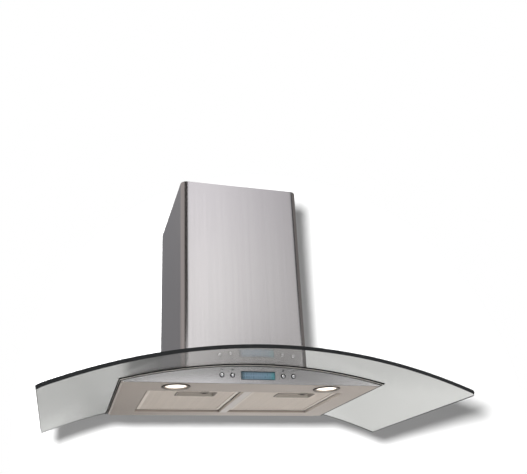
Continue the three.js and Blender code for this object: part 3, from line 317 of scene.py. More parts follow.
def brushed_steel(name, color, grain, roughness=0.22, contrast=0.015, metallic=1.0, depth=0.1):
    """Grain lines along one axis: fine ones in the roughness and the height, broad faint ones in the
    colour."""
    steel = Finish(name, color, roughness, metallic)
    fine = steel.brush_lines(grain)
    broad = steel.brush_lines(grain, 1.2, 150, 2, 0.5)
    steel.drive("Base Color", steel.uneven(broad, color, contrast))
    steel.drive("Roughness", steel.spread(fine, roughness - 0.3 * depth, roughness + 0.5 * depth))
    steel.bump(fine, depth, BRUSH_DEPTH)
    return steel.material


def casing_steel(name, color):
    """Satin steel of the body, with painted light and shade laid over its own tone: a painted highlight on
    the front and side faces of the rim's edge, painted shade under the rim behind that edge, the strip
    between the filters and the walls of the filter openings painted paler as if lit, and painted shade on the
    rear walls of the filter openings."""
    steel = Finish(name, color, 0.34, 0.6)
    x, y, z = steel.axes()
    beside = steel.combine("ABSOLUTE", x)

    def beyond(value, place):
        return steel.spread(value, 0, 1, place - MASK_SOFTNESS, place + MASK_SOFTNESS)

    def short_of(value, place):
        return steel.spread(value, 1, 0, place - MASK_SOFTNESS, place + MASK_SOFTNESS)

    def within(first, *others):
        for other in others:
            first = steel.combine("MULTIPLY", first, other)
        return first

    # painted shade: near-black under the front and side edges of the rim, behind its face
    shaded_seam = steel.combine("MAXIMUM", short_of(y, -417 * MM), beyond(beside, 289.8 * MM))
    # painted highlight: the front and side faces of the rim's edge painted nearly white
    edge = steel.combine("MAXIMUM", short_of(y, -RIM_FRONT + 0.3 * MM), beyond(beside, RIM_HALF - 0.3 * MM))
    # painted light: the walls of the filter openings painted paler than the underside, as if lit
    wall = within(
        beyond(z, UNDERSIDE + 0.9 * MM), short_of(beside, 230.6 * MM),
        beyond(y, OPENING_FRONT - 1.4 * MM), short_of(y, OPENING_REAR + 1.5 * MM))
    # painted light: the strip between the two filter openings painted paler, as if lit
    lit_rib = within(short_of(beside, 8.7 * MM), beyond(y, OPENING_FRONT), short_of(y, OPENING_REAR))
    # painted shade: the rear walls of the filter openings painted dark brown
    rear = within(wall, beyond(y, OPENING_REAR - 1.2 * MM))
    tone = steel.uneven(steel.noise(steel.coordinates(), 5, 2, 0.5), color, 0.03)
    # lays the painted light and shade below over the steel's own tone
    for mask, other in (
        (lit_rib, (0.70, 0.66, 0.63)), (wall, (0.62, 0.57, 0.53)), (rear, (0.34, 0.30, 0.27)),
        (shaded_seam, (0.02, 0.019, 0.018)), (edge, (0.95, 0.92, 0.86)),
    ):
        tone = steel.blend(mask, tone, (*other, 1))
    steel.drive("Base Color", tone)
    fine = steel.brush_lines("x")
    steel.drive("Roughness", steel.spread(fine, 0.31, 0.4))
    steel.bump(fine, 0.1, BRUSH_DEPTH)
    return steel.material


def mesh_layers(name, color):
    """Folded layers of expanded mesh behind the first one: pale metal, with rows of slits painted dark as the
    shade seen through them, and painted shade in patches."""
    layers = Finish(name, color, 0.5, 0.4)
    slits = layers.add("ShaderNodeTexWave", wave_type="BANDS", bands_direction="DIAGONAL")
    slits.inputs["Scale"].default_value = 75
    slits.inputs["Distortion"].default_value = 2.0
    slits.inputs["Detail"].default_value = 2
    layers.link(layers.coordinates(), slits.inputs["Vector"])
    # painted shade: the slits darker than the metal, as the shade seen through the layers
    rows = layers.ramp(slits.outputs["Fac"], [(0.2, shade(color, 0.72)), (0.7, color)])
    # painted shade: darker patches over the layers
    patch_noise = layers.noise(layers.coordinates(scale=(1, 0.7, 1)), 170, 1, 0.5)
    shade_patches = layers.ramp(patch_noise, [(0.38, (0.72, 0.72, 0.72)), (0.62, (1, 1, 1))])
    layers.drive("Base Color", layers.blend(1, rows, shade_patches, "MULTIPLY"))
    layers.bump(slits.outputs["Fac"], 0.5, 0.6 * MM)
    return layers.material


def lamp_ring_steel(name, color):
    """Satin ring of a lamp, with painted shade: a dark line round its outer edge, where it meets the body."""
    ring = Finish(name, color, 0.34, 0.8)
    flat = (1, 1, 0)
    nearest = ring.combine("MINIMUM", *(ring.distance((x, LAMP_Y, 0), flat) for _, x in LAMPS))
    # painted shade: the outermost band of each ring painted dark
    outline = ring.spread(nearest, 0, 1, 29.3 * MM, 29.9 * MM)
    metal = ring.uneven(ring.noise(ring.coordinates(), 60, 2, 0.5), color, 0.02)
    ring.drive("Base Color", ring.blend(outline, metal, (0.09, 0.078, 0.068, 1)))
    ring.drive("Roughness", ring.spread(ring.brush_lines("x"), 0.31, 0.39))
    return ring.material


def frame_aluminium(name, color):
    """Aluminium of the filter rails, with painted shade: dark brown along the left edge of the left filter
    and the rear edges of both.
    """
    rail = Finish(name, color, 0.4, 0.45)
    x, y, _ = rail.axes()
    # painted shade: the rails darken towards the left edge of the left filter and towards the rear edges
    left = rail.spread(x, 1, 0, -224.6 * MM, -223.2 * MM)
    rear = rail.spread(y, 0, 1, -89.5 * MM, -87 * MM)
    metal = rail.uneven(rail.noise(rail.coordinates(), 40, 2, 0.5), color, 0.04)
    rail.drive("Base Color", rail.blend(rail.combine("MAXIMUM", left, rear), metal, (0.32, 0.28, 0.24, 1)))
    fine = rail.brush_lines("y")
    rail.drive("Roughness", rail.spread(fine, 0.36, 0.46))
    rail.bump(fine, 0.1, BRUSH_DEPTH)
    return rail.material


def moulded(name, color, roughness, contrast=0.12, grain=900, shine=0.5):
    """Plastic, rubber or paint: cloudy in tone, with a fine grain."""
    plastic = Finish(name, color, roughness, Specular_IOR_Level=shine)
    speck = plastic.noise(plastic.coordinates(), grain, 2, 0.6)
    cloud = plastic.noise(plastic.coordinates(), 14, 2, 0.5)
    plastic.drive("Base Color", plastic.uneven(cloud, color, contrast))
    plastic.drive("Roughness", plastic.spread(speck, roughness - 0.06, roughness + 0.08))
    plastic.bump(speck, 0.2, 0.04 * MM)
    return plastic.material


def spangled_zinc(name, color, roughness=0.42, size=55):
    """Zinc coat with large soft crystals."""
    zinc = Finish(name, color, roughness, 1.0)
    cells = zinc.add("ShaderNodeTexVoronoi")
    cells.inputs["Scale"].default_value = size
    zinc.link(zinc.coordinates(), cells.inputs["Vector"])
    tone = zinc.add("ShaderNodeSeparateColor")
    zinc.link(cells.outputs["Color"], tone.inputs["Color"])
    zinc.drive("Base Color", zinc.ramp(tone.outputs["Red"], [
        (0.0, shade(color, 0.86)),
        (1.0, shade(color, 1.1)),
    ]))
    zinc.drive("Roughness", zinc.spread(tone.outputs["Green"], roughness - 0.08, roughness + 0.1, 0, 1))
    return zinc.material


def clear_sheet(name, tint):
    """Float glass: clear, with a tint and the faintest unevenness of its colour."""
    glass = Finish(name, tint, 0.0, 0.0, Transmission_Weight=1.0, IOR=1.5)
    glass.drive("Base Color", glass.uneven(glass.noise(glass.coordinates(), 3.0, 1, 0.4), tint, 0.01))
    return glass.material


def polished_edge(name):
    """Looking into the edge of the sheet, the light path is long and the glass goes nearly black."""
    edge = Finish(name, (0.010, 0.011, 0.0115), 0.34, 0.0, Specular_IOR_Level=0.14)
    streak = edge.noise(edge.coordinates(scale=(40, 40, 900)), 1, 2, 0.5)
    edge.drive("Base Color", edge.ramp(streak, [(0.3, (0.007, 0.008, 0.0085)), (0.7, (0.017, 0.018, 0.019))]))
    edge.drive("Roughness", edge.spread(streak, 0.24, 0.36))
    return edge.material


def lit_glass(name, color, strength):
    """Frosted cover with the lamp burning behind it."""
    glow = Finish(name, color, 0.35, 0.0)
    frost = glow.noise(glow.coordinates(), 700, 2, 0.6)
    glow.set("Emission Strength", strength)
    glow.drive("Emission Color", glow.ramp(frost, [(0.3, shade(color, 0.94)), (0.7, color)]))
    glow.bump(frost, 0.2, 0.1 * MM)
    return glow.material


def display_glow():
    """Backlit panel: grey blue, teal at the right end, dark at its border, with a few faint dark cells."""
    glow = Finish("display_backlight", (0.02, 0.035, 0.045), 0.3)
    x, _, z = glow.axes()
    color = glow.ramp(glow.spread(x, 0, 1, -DISPLAY_HALF, DISPLAY_HALF), [
        (0.0, (0.012, 0.022, 0.028)),
        (0.06, (0.05, 0.085, 0.11)),
        (0.11, (0.15, 0.215, 0.265)),
        (0.45, (0.165, 0.225, 0.285)),
        (0.85, (0.14, 0.225, 0.275)),
        (0.93, (0.085, 0.255, 0.265)),
        (0.985, (0.07, 0.20, 0.21)),
    ])
    border = glow.ramp(glow.spread(z, 0, 1, DISPLAY_BOTTOM, DISPLAY_TOP), [
        (0.05, grey(0.25)),
        (0.16, grey(0.80)),
        (0.24, grey(1.0)),
        (0.74, grey(1.0)),
        (0.86, grey(0.45)),
        (0.92, (0.07, 0.08, 0.09)),
    ])
    cells = glow.add("ShaderNodeTexBrick", offset=0.0)
    for socket, value in (
        ("Scale", 1), ("Brick Width", 5.2 * MM), ("Row Height", 6.2 * MM), ("Mortar Size", 1.1 * MM),
        ("Mortar Smooth", 0.5), ("Color1", (0.52, 0.55, 0.58, 1)), ("Color2", (0.88, 0.88, 0.88, 1)),
        ("Mortar", (1, 1, 1, 1)),
    ):
        cells.inputs[socket].default_value = value
    upright = glow.coordinates(turn=(-math.pi / 2, 0, 0), move=(DISPLAY_HALF, 10.2 * MM, 0))
    glow.link(upright, cells.inputs["Vector"])
    lit = glow.blend(1, color, border, "MULTIPLY")
    glow.drive("Emission Color", glow.blend(1, lit, cells.outputs["Color"], "MULTIPLY"))
    glow.set("Emission Strength", 1.05)
    return glow.material


def circuit_board(name):
    """Green board with paler tracks."""
    board = Finish(name, (0.02, 0.11, 0.05), 0.4)
    tracks = board.add("ShaderNodeTexBrick")
    tracks.inputs["Scale"].default_value = 160
    tracks.inputs["Color1"].default_value = (0.02, 0.12, 0.05, 1)
    tracks.inputs["Color2"].default_value = (0.03, 0.15, 0.07, 1)
    tracks.inputs["Mortar"].default_value = (0.06, 0.22, 0.10, 1)
    board.link(board.coordinates(turn=(math.pi / 2, 0, 0)), tracks.inputs["Vector"])
    board.drive("Base Color", tracks.outputs["Color"])
    return board.material


finishes = {
    "satin_steel": brushed_steel("satin_steel_vertical", (0.66, 0.635, 0.64), "z", 0.2),
    "fascia_steel": brushed_steel("satin_steel_across", (0.60, 0.59, 0.60), "x", 0.25, 0.006, depth=0.02),
    "underside_steel": casing_steel("satin_steel_underside", (0.54, 0.485, 0.44)),
    "galvanised": spangled_zinc("galvanised_sheet", (0.62, 0.64, 0.65)),
    "zinc_steel": spangled_zinc("zinc_plated_steel", (0.70, 0.68, 0.60), 0.34, 260),
    "clear_glass": clear_sheet("canopy_glass", (0.875, 0.88, 0.855)),
    "glass_edge": polished_edge("canopy_glass_edge"),
    "black_rubber": moulded("black_rubber", (0.008, 0.008, 0.008), 0.8, 0.2, 500, 0.15),
    "black_plastic": moulded("black_plastic", (0.03, 0.031, 0.034), 0.45),
    "latch_plastic": moulded("latch_plastic", (0.012, 0.011, 0.01), 0.6, 0.12, 900, 0.15),
    "white_plastic": moulded("white_plastic", (0.74, 0.73, 0.69), 0.42, 0.05),
    "filter_aluminium": brushed_steel("filter_aluminium", (0.74, 0.68, 0.62), "y", 0.42, 0.03, 0.45),
    "frame_aluminium": frame_aluminium("filter_rail_aluminium", (0.75, 0.69, 0.63)),
    # painted shade: the finger recess is painted far darker than the filter's aluminium
    "shaded_recess_aluminium": brushed_steel("finger_recess_aluminium", (0.27, 0.245, 0.215), "x", 0.4, 0.03, 0.5),
    "filter_layers": mesh_layers("filter_mesh_layers", (0.56, 0.51, 0.47)),
    "chrome": brushed_steel("polished_chrome", (0.70, 0.70, 0.72), "z", 0.12, 0.02),
    "lamp_ring": lamp_ring_steel("lamp_ring_satin", (0.30, 0.27, 0.24)),
    "motor_steel": moulded("motor_paint", (0.14, 0.145, 0.15), 0.4),
    "board_green": circuit_board("circuit_board"),
    "display_blue": display_glow(),
    "display_cover": clear_sheet("display_cover", (0.85, 0.93, 0.97)),
    "lamp_glass": lit_glass("lamp_cover_lit", (1.0, 0.92, 0.82), 0.9),
    "panel_print": moulded("panel_print", (0.07, 0.07, 0.075), 0.6, shine=0.2),
    # painted shade: the button collar is near-black, standing for the shade in the gap round each button
    "shaded_button_collar": moulded("shaded_button_collar", (0.012, 0.012, 0.013), 0.5, shine=0.3),
}


def paint(thing, *names):
    """Gives a piece its finishes, in the order of its material numbers."""
    thing.data.materials.clear()
    for name in names:
        thing.data.materials.append(finishes[name])


def finish_cad_nodes():
    """Every solid gets the finish of its slot; what is modelled below then replaces some of them."""
    slot_of = {part["node"]: part["material_slot"] for part in frame["record"]["subparts"]}
    for name, thing in nodes.items():
        paint(thing, slot_of.get(name, "satin_steel"))
    paint(nodes["fascia_panel"], "fascia_steel")


# ---------------------------------------------------------------- mesh helpers

def mesh_object(name, vertices, faces, smooth=True):
    mesh = bpy.data.meshes.new(name)
    mesh.from_pydata([tuple(v) for v in vertices], [], faces)
    mesh.validate()
    if smooth:
        mesh.shade_smooth()
    thing = bpy.data.objects.new(name, mesh)
    scene.collection.objects.link(thing)
    return thing


def tidy(thing, sharp_angle):
    """Joins doubles, points every face outwards, and keeps edges beyond the angle sharp."""
    work = bmesh.new()
    work.from_mesh(thing.data)
    bmesh.ops.remove_doubles(work, verts=work.verts, dist=1e-6)
    bmesh.ops.recalc_face_normals(work, faces=work.faces)
    limit = math.radians(sharp_angle)
    for edge in work.edges:
        edge.smooth = not (len(edge.link_faces) == 2 and edge.calc_face_angle(0) > limit)
    work.to_mesh(thing.data)
    work.free()
    return thing


def freeze(thing):
    """Turns an object with modifiers into a plain mesh of the same name."""
    bpy.context.view_layer.update()
    view = thing.evaluated_get(bpy.context.evaluated_depsgraph_get())
    mesh = bpy.data.meshes.new_from_object(view)
    thing.modifiers.clear()
    thing.data = mesh
    return thing


def bevelled(thing, width):
    """Rounds the edges of a piece."""
    bevel = thing.modifiers.new("bevel", "BEVEL")
    bevel.width = width
    bevel.segments = 2
    bevel.limit_method = "ANGLE"
    bevel.angle_limit = math.radians(40)
    bevel.harden_normals = True
    return freeze(thing)


def lathe(name, profile, centre, along, turns):
    """Closed profile of (radius, height) in millimetres, turned about `along`, which is 'z' or '-y'."""
    vertices = []
    faces = []
    count = len(profile)
    for step in range(turns):
        angle = 2 * math.pi * step / turns
        for radius, height in profile:
            u, v = radius * math.cos(angle), radius * math.sin(angle)
            point = (u, v, height) if along == "z" else (u, -height, v)
            vertices.append([centre[k] + point[k] * MM for k in range(3)])
    for step in range(turns):
        after = (step + 1) % turns
        for row in range(count):
            next_row = (row + 1) % count
            faces.append([
                step * count + row,
                after * count + row,
                after * count + next_row,
                step * count + next_row,
            ])
    thing = mesh_object(name, vertices, faces)
    work = bmesh.new()
    work.from_mesh(thing.data)
    bmesh.ops.remove_doubles(work, verts=work.verts, dist=1e-7)
    bmesh.ops.dissolve_degenerate(work, edges=work.edges, dist=1e-8)
    bmesh.ops.recalc_face_normals(work, faces=work.faces)
    work.to_mesh(thing.data)
    work.free()
    return tidy(thing, 35)


# ---------------------------------------------------------------- shared shapes

def loft(name, rings, loop=False):
    """Skin through rings of equally many points. A looped skin joins the last ring to the first, and any
    other is closed by a cap at each end."""
    count = len(rings[0])
    vertices = [point for ring in rings for point in ring]
    faces = []
    for index in range(len(rings) if loop else len(rings) - 1):
        a = index * count
        b = (index + 1) % len(rings) * count
        for k in range(count):
            n = (k + 1) % count
            faces.append([a + k, a + n, b + n, b + k])
    if not loop:
        faces.append(list(range(count)))
        faces.append([(len(rings) - 1) * count + k for k in range(count)])
    return mesh_object(name, vertices, faces)


def rounded_ring(middle, reach, radius, z, steps=5):
    """Rectangle with round corners at height z, from its middle and its reach in x and y."""
    radius = max(min(radius, *reach), 0.01 * MM)
    ring = []
    for side_x, side_y, start in ((1, 1, 0), (-1, 1, 90), (-1, -1, 180), (1, -1, 270)):
        for i in range(steps + 1):
            angle = math.radians(start + 90 * i / steps)
            ring.append((
                middle[0] + side_x * (reach[0] - radius) + radius * math.cos(angle),
                middle[1] + side_y * (reach[1] - radius) + radius * math.sin(angle),
                z,
            ))
    return ring


def add_block(work, low, high):
    """One closed box from its lowest to its highest corner, added to a bmesh."""
    made = bmesh.ops.create_cube(work, size=1)["verts"]
    size = [high[k] - low[k] for k in range(3)]
    middle = [(high[k] + low[k]) / 2 for k in range(3)]
    bmesh.ops.scale(work, vec=size, verts=made)
    bmesh.ops.translate(work, vec=middle, verts=made)


def from_bmesh(name, work):
    mesh = bpy.data.meshes.new(name)
    work.to_mesh(mesh)
    work.free()
    thing = bpy.data.objects.new(name, mesh)
    scene.collection.objects.link(thing)
    return thing


def blocks(name, boxes):
    """Closed boxes in one mesh, each given as (low, high) in metres."""
    work = bmesh.new()
    for low, high in boxes:
        add_block(work, low, high)
    return from_bmesh(name, work)


def cut_away(thing, tool):
    """Takes the tool's shape out of a closed piece, and the tool out of the scene."""
    boolean = thing.modifiers.new("cut", "BOOLEAN")
    boolean.operation = "DIFFERENCE"
    boolean.object = tool
    boolean.solver = "EXACT"
    freeze(thing)
    bpy.data.objects.remove(tool)


def box_of(node):
    """Lowest and highest corner of a node's solid."""
    return [Vector(corner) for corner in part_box(node)]


def finish(piece, finish_name, slot, body, *replaced):
    """Gives a piece its finish, unless it has one, attaches it to its body and hides the nodes it stands for.
    The slot is not used.
    """
    if finish_name:
        paint(piece, finish_name)
    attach(piece, body)
    if replaced:
        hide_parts(*replaced)
    return piece


# ---------------------------------------------------------------- bent glass

def glass_front_edge(x):
    """Front edge of the glass at x: a shallow bow that rounds off at the corners."""
    straight = GLASS_HALF - GLASS_CORNER
    if abs(x) <= straight:
        return -(GLASS_FRONT - GLASS_BOW * (x / GLASS_HALF) ** 2)
    reach = min(abs(x) - straight, GLASS_CORNER)
    bow = GLASS_BOW * (straight / GLASS_HALF) ** 2
    return -(GLASS_FRONT - bow - GLASS_CORNER) - math.sqrt(max(GLASS_CORNER ** 2 - reach ** 2, 0))


def add_glass():
    straight = GLASS_HALF - GLASS_CORNER
    places = [-straight + 2 * straight * i / GLASS_COLUMNS for i in range(GLASS_COLUMNS + 1)]
    turns = [math.pi / 2 * i / CORNER_STEPS for i in range(1, CORNER_STEPS + 1)]
    corner = [straight + GLASS_CORNER * math.sin(turn) for turn in turns]
    places = [-x for x in reversed(corner)] + places + corner
    rows = GLASS_ROWS
    vertices = []
    for layer in (0, GLASS_THICK):
        radius = BEND_RADIUS + layer
        for x in places:
            lean = math.asin(x / (BEND_RADIUS + GLASS_THICK))
            front = glass_front_edge(x)
            for row in range(rows + 1):
                y = front + (-GLASS_REAR - front) * row / rows
                vertices.append((radius * math.sin(lean), y, BEND_CENTRE + radius * math.cos(lean)))
    columns = len(places)
    stride = rows + 1
    layer_size = columns * stride
    faces = []
    for column in range(columns - 1):
        for row in range(rows):
            a = column * stride + row
            b = a + stride
            faces.append([a, a + 1, b + 1, b])
            faces.append([layer_size + v for v in (a, b, b + 1, a + 1)])
    rim = [column * stride for column in range(columns)]
    rim += [(columns - 1) * stride + row for row in range(1, rows + 1)]
    rim += [column * stride + rows for column in range(columns - 2, -1, -1)]
    rim += [row for row in range(rows - 1, 0, -1)]
    for index, start in enumerate(rim):
        end = rim[(index + 1) % len(rim)]
        faces.append([start, end, layer_size + end, layer_size + start])
    glass = tidy(mesh_object("bent_glass", vertices, faces), 30)
    cut_openings(glass)
    paint(glass, "clear_glass", "glass_edge")
    mark_glass_edges(glass)
    finish(glass, None, "clear_glass", "hood", "glass_canopy")


def cut_openings(glass):
    """Air opening and bolt holes, which blower box and body hide."""
    cutter = bmesh.new()
    reach = 0.1
    low, high = GLASS_CROWN - reach, GLASS_CROWN + reach
    add_block(cutter, (-AIR_WAY_HALF, AIR_WAY_FRONT, low), (AIR_WAY_HALF, AIR_WAY_REAR, high))
    for x in (-GLASS_BOLT_X, GLASS_BOLT_X):
        for y in GLASS_BOLT_Y:
            hole = bmesh.ops.create_cone(
                cutter, cap_ends=True, segments=24, radius1=GLASS_HOLE_RADIUS, radius2=GLASS_HOLE_RADIUS,
                depth=2 * reach)["verts"]
            bmesh.ops.translate(cutter, vec=(x, y, GLASS_CROWN), verts=hole)
    cut_away(glass, from_bmesh("opening_cutter", cutter))
    for polygon in glass.data.polygons:
        polygon.use_smooth = True


def mark_glass_edges(glass):
    """Faces square to the sheet get the edge finish; the two large faces stay clear."""
    for polygon in glass.data.polygons:
        outward = Vector((polygon.center.x, 0, polygon.center.z - BEND_CENTRE)).normalized()
        on_face = abs(polygon.normal.dot(outward)) > 0.7
        polygon.material_index = 0 if on_face else 1
    work = bmesh.new()
    work.from_mesh(glass.data)
    for edge in work.edges:
        if len({face.material_index for face in edge.link_faces}) == 2:
            edge.smooth = False
    work.to_mesh(glass.data)
    work.free()


# ---------------------------------------------------------------- chimney

def chimney_path():
    """Plan of the cover as a list of (x, y, outward x, outward y), from one rear return to the other."""
    half, bend = CHIMNEY_HALF, CHIMNEY_BEND
    flat = half - bend
    bend_y = -(CHIMNEY_DEPTH - bend)
    corner = 0.01 * MM
    right = [
        (half - CHIMNEY_RETURN, 0, 0, 1), (half - corner, 0, 0, 1),
        (half, -corner, 1, 0), (half, bend_y, 1, 0),
    ]
    for i in range(1, BEND_STEPS):
        across, ahead = math.cos(math.pi / 2 * i / BEND_STEPS), math.sin(math.pi / 2 * i / BEND_STEPS)
        right.append((flat + bend * across, bend_y - bend * ahead, across, -ahead))
    left = [(-x, y, -nx, ny) for x, y, nx, ny in reversed(right)]
    count = int(2 * flat / CHIMNEY_STEP)
    front = [(flat - 2 * flat * i / count, -CHIMNEY_DEPTH, 0, -1) for i in range(count + 1)]
    return right + front + left


def add_chimney():
    """Lower cover: folded sheet with round bends, whose foot follows the glass."""
    path = chimney_path()
    count = len(path)
    inside = [(x - CHIMNEY_SHEET * nx, y - CHIMNEY_SHEET * ny) for x, y, nx, ny in path]
    for index, side in ((1, 1), (2, 1), (count - 2, -1), (count - 3, -1)):
        inside[index] = (side * (CHIMNEY_HALF - CHIMNEY_SHEET), -CHIMNEY_SHEET)
    vertices = []
    for x, y in [point[:2] for point in path] + inside:
        vertices += [(x, y, bend_height(x, GLASS_THICK + CHIMNEY_GAP)), (x, y, CHIMNEY_TOP)]
    faces = []
    inner = 2 * count
    for index in range(count - 1):
        a = 2 * index
        b = a + 2
        faces.append([a, b, b + 1, a + 1])
        faces.append([inner + a, inner + a + 1, inner + b + 1, inner + b])
        faces.append([a, inner + a, inner + b, b])
        faces.append([a + 1, b + 1, inner + b + 1, inner + a + 1])
    last = 2 * (count - 1)
    faces.append([0, 1, inner + 1, inner])
    faces.append([last, inner + last, inner + last + 1, last + 1])
    cover = tidy(mesh_object("chimney_outer_cover", vertices, faces), 30)
    finish(cover, "satin_steel", "satin_steel", "hood", "chimney_lower")


# ---------------------------------------------------------------- geometry nodes

class Tree:
    """A geometry node tree with named inputs, and the modifier that runs it."""

    def __init__(self, name, **inputs):
        self.group = bpy.data.node_groups.new(name, "GeometryNodeTree")
        self.values = inputs
        kinds = {float: "NodeSocketFloat", int: "NodeSocketInt", tuple: "NodeSocketVector"}
        for label, value in inputs.items():
            kind = kinds.get(type(value), "NodeSocketMaterial")
            self.group.interface.new_socket(name=label, in_out="INPUT", socket_type=kind)
        self.group.interface.new_socket(name="Geometry", in_out="OUTPUT", socket_type="NodeSocketGeometry")
        self.inputs = self.group.nodes.new("NodeGroupInput")
        self.result = self.group.nodes.new("NodeGroupOutput")

    def node(self, kind, **settings):
        made = self.group.nodes.new(kind)
        for key, value in settings.items():
            setattr(made, key, value)
        return made

    def link(self, source, target):
        self.group.links.new(source, target)

    def given(self, label):
        return self.inputs.outputs[label]

    def feed(self, node, *values):
        """Gives a node's first inputs their values, each a number or an output."""
        for socket, value in zip(node.inputs, values):
            if isinstance(value, (int, float)):
                socket.default_value = value
            else:
                self.link(value, socket)
        return node.outputs[0]

    def scalar(self, operation, *values):
        return self.feed(self.node("ShaderNodeMath", operation=operation), *values)

    def vector(self, x, y, z):
        return self.feed(self.node("ShaderNodeCombineXYZ"), x, y, z)

    def run(self, thing, geometry):
        """Realizes the instances, sets the finish and turns the result into a plain mesh."""
        realize = self.node("GeometryNodeRealizeInstances")
        self.link(geometry, realize.inputs[0])
        coat = self.node("GeometryNodeSetMaterial")
        self.link(realize.outputs[0], coat.inputs["Geometry"])
        self.link(self.given("Finish"), coat.inputs["Material"])
        self.link(coat.outputs[0], self.result.inputs[0])
        modifier = thing.modifiers.new(self.group.name, "NODES")
        modifier.node_group = self.group
        for item in self.group.interface.items_tree:
            if item.item_type == "SOCKET" and item.in_out == "INPUT" and item.name in self.values:
                modifier[item.identifier] = self.values[item.name]
        return freeze(thing)


def expanded_mesh(name, low, high, hole_low, hole_high):
    """Sheet of expanded metal: diamond rings of thin strand in two staggered grids, left out at the hole."""
    width, depth = high[0] - low[0], high[1] - low[1]
    columns, rows = int(width / MESH_PITCH_X), int(depth / MESH_PITCH_Y)
    tree = Tree(
        name, **{
            "Finish": finishes["filter_aluminium"],
            "Pitch Across": width / columns, "Pitch Deep": depth / rows,
            "Columns": columns, "Rows": rows,
            "Strand": STRAND_WIDTH, "Thickness": STRAND_THICK,
            "Middle": ((low[0] + high[0]) / 2, (low[1] + high[1]) / 2, low[2] + STRAND_THICK / 2),
            "Hole Middle": ((hole_low[0] + hole_high[0]) / 2, (hole_low[1] + hole_high[1]) / 2, 0.0),
            "Hole Width": hole_high[0] - hole_low[0], "Hole Depth": hole_high[1] - hole_low[1],
        })
    across, deep = tree.given("Pitch Across"), tree.given("Pitch Deep")

    def one_less(count):
        return tree.scalar("SUBTRACT", count, 1)

    def lattice(columns, rows):
        grid = tree.node("GeometryNodeMeshGrid")
        tree.link(tree.scalar("MULTIPLY", across, one_less(columns)), grid.inputs["Size X"])
        tree.link(tree.scalar("MULTIPLY", deep, one_less(rows)), grid.inputs["Size Y"])
        tree.link(columns, grid.inputs["Vertices X"])
        tree.link(rows, grid.inputs["Vertices Y"])
        points = tree.node("GeometryNodeMeshToPoints")
        tree.link(grid.outputs["Mesh"], points.inputs["Mesh"])
        return points.outputs[0]

    both = tree.node("GeometryNodeJoinGeometry")
    tree.link(lattice(tree.given("Columns"), tree.given("Rows")), both.inputs[0])
    tree.link(lattice(one_less(tree.given("Columns")), one_less(tree.given("Rows"))), both.inputs[0])
    shift = tree.node("GeometryNodeSetPosition")
    tree.link(both.outputs[0], shift.inputs["Geometry"])
    tree.link(tree.given("Middle"), shift.inputs["Offset"])

    # leave out what would stand in the finger recess
    position = tree.node("GeometryNodeInputPosition")
    apart = tree.node("ShaderNodeVectorMath", operation="SUBTRACT")
    tree.feed(apart, position.outputs[0], tree.given("Hole Middle"))
    split = tree.node("ShaderNodeSeparateXYZ")
    tree.link(apart.outputs[0], split.inputs[0])
    inside = []
    for place, size, margin in zip(split.outputs, ("Hole Width", "Hole Depth"), (2.2 * MM, 1.2 * MM)):
        reach = tree.scalar("ADD", tree.scalar("MULTIPLY", tree.given(size), 0.5), margin)
        inside.append(tree.scalar("LESS_THAN", tree.scalar("ABSOLUTE", place), reach))
    clear = tree.node("GeometryNodeDeleteGeometry", domain="POINT")
    tree.link(shift.outputs[0], clear.inputs["Geometry"])
    tree.link(tree.scalar("MULTIPLY", *inside), clear.inputs["Selection"])

    # one diamond: four strands round an opening, a little short of the next diamond
    outline = tree.node("GeometryNodeCurvePrimitiveQuadrilateral", mode="POINTS")
    for number, (share_x, share_y) in enumerate(((0.46, 0), (0, 0.44), (-0.46, 0), (0, -0.44)), 1):
        x, y = tree.scalar("MULTIPLY", across, share_x), tree.scalar("MULTIPLY", deep, share_y)
        tree.link(tree.vector(x, y, 0), outline.inputs[f"Point {number}"])
    strand = tree.node("GeometryNodeCurvePrimitiveQuadrilateral", mode="RECTANGLE")
    tree.link(tree.given("Strand"), strand.inputs["Width"])
    tree.link(tree.given("Thickness"), strand.inputs["Height"])
    sweep = tree.node("GeometryNodeCurveToMesh")
    tree.link(outline.outputs[0], sweep.inputs["Curve"])
    tree.link(strand.outputs[0], sweep.inputs["Profile Curve"])
    flat = tree.node("GeometryNodeSetShadeSmooth")
    flat.inputs["Shade Smooth"].default_value = False
    tree.link(sweep.outputs[0], flat.inputs["Geometry"])
    placed = tree.node("GeometryNodeInstanceOnPoints")
    tree.link(clear.outputs[0], placed.inputs["Points"])
    tree.link(flat.outputs[0], placed.inputs["Instance"])
    sheet = mesh_object(name, [(0, 0, 0)], [])
    return tree.run(sheet, placed.outputs[0])


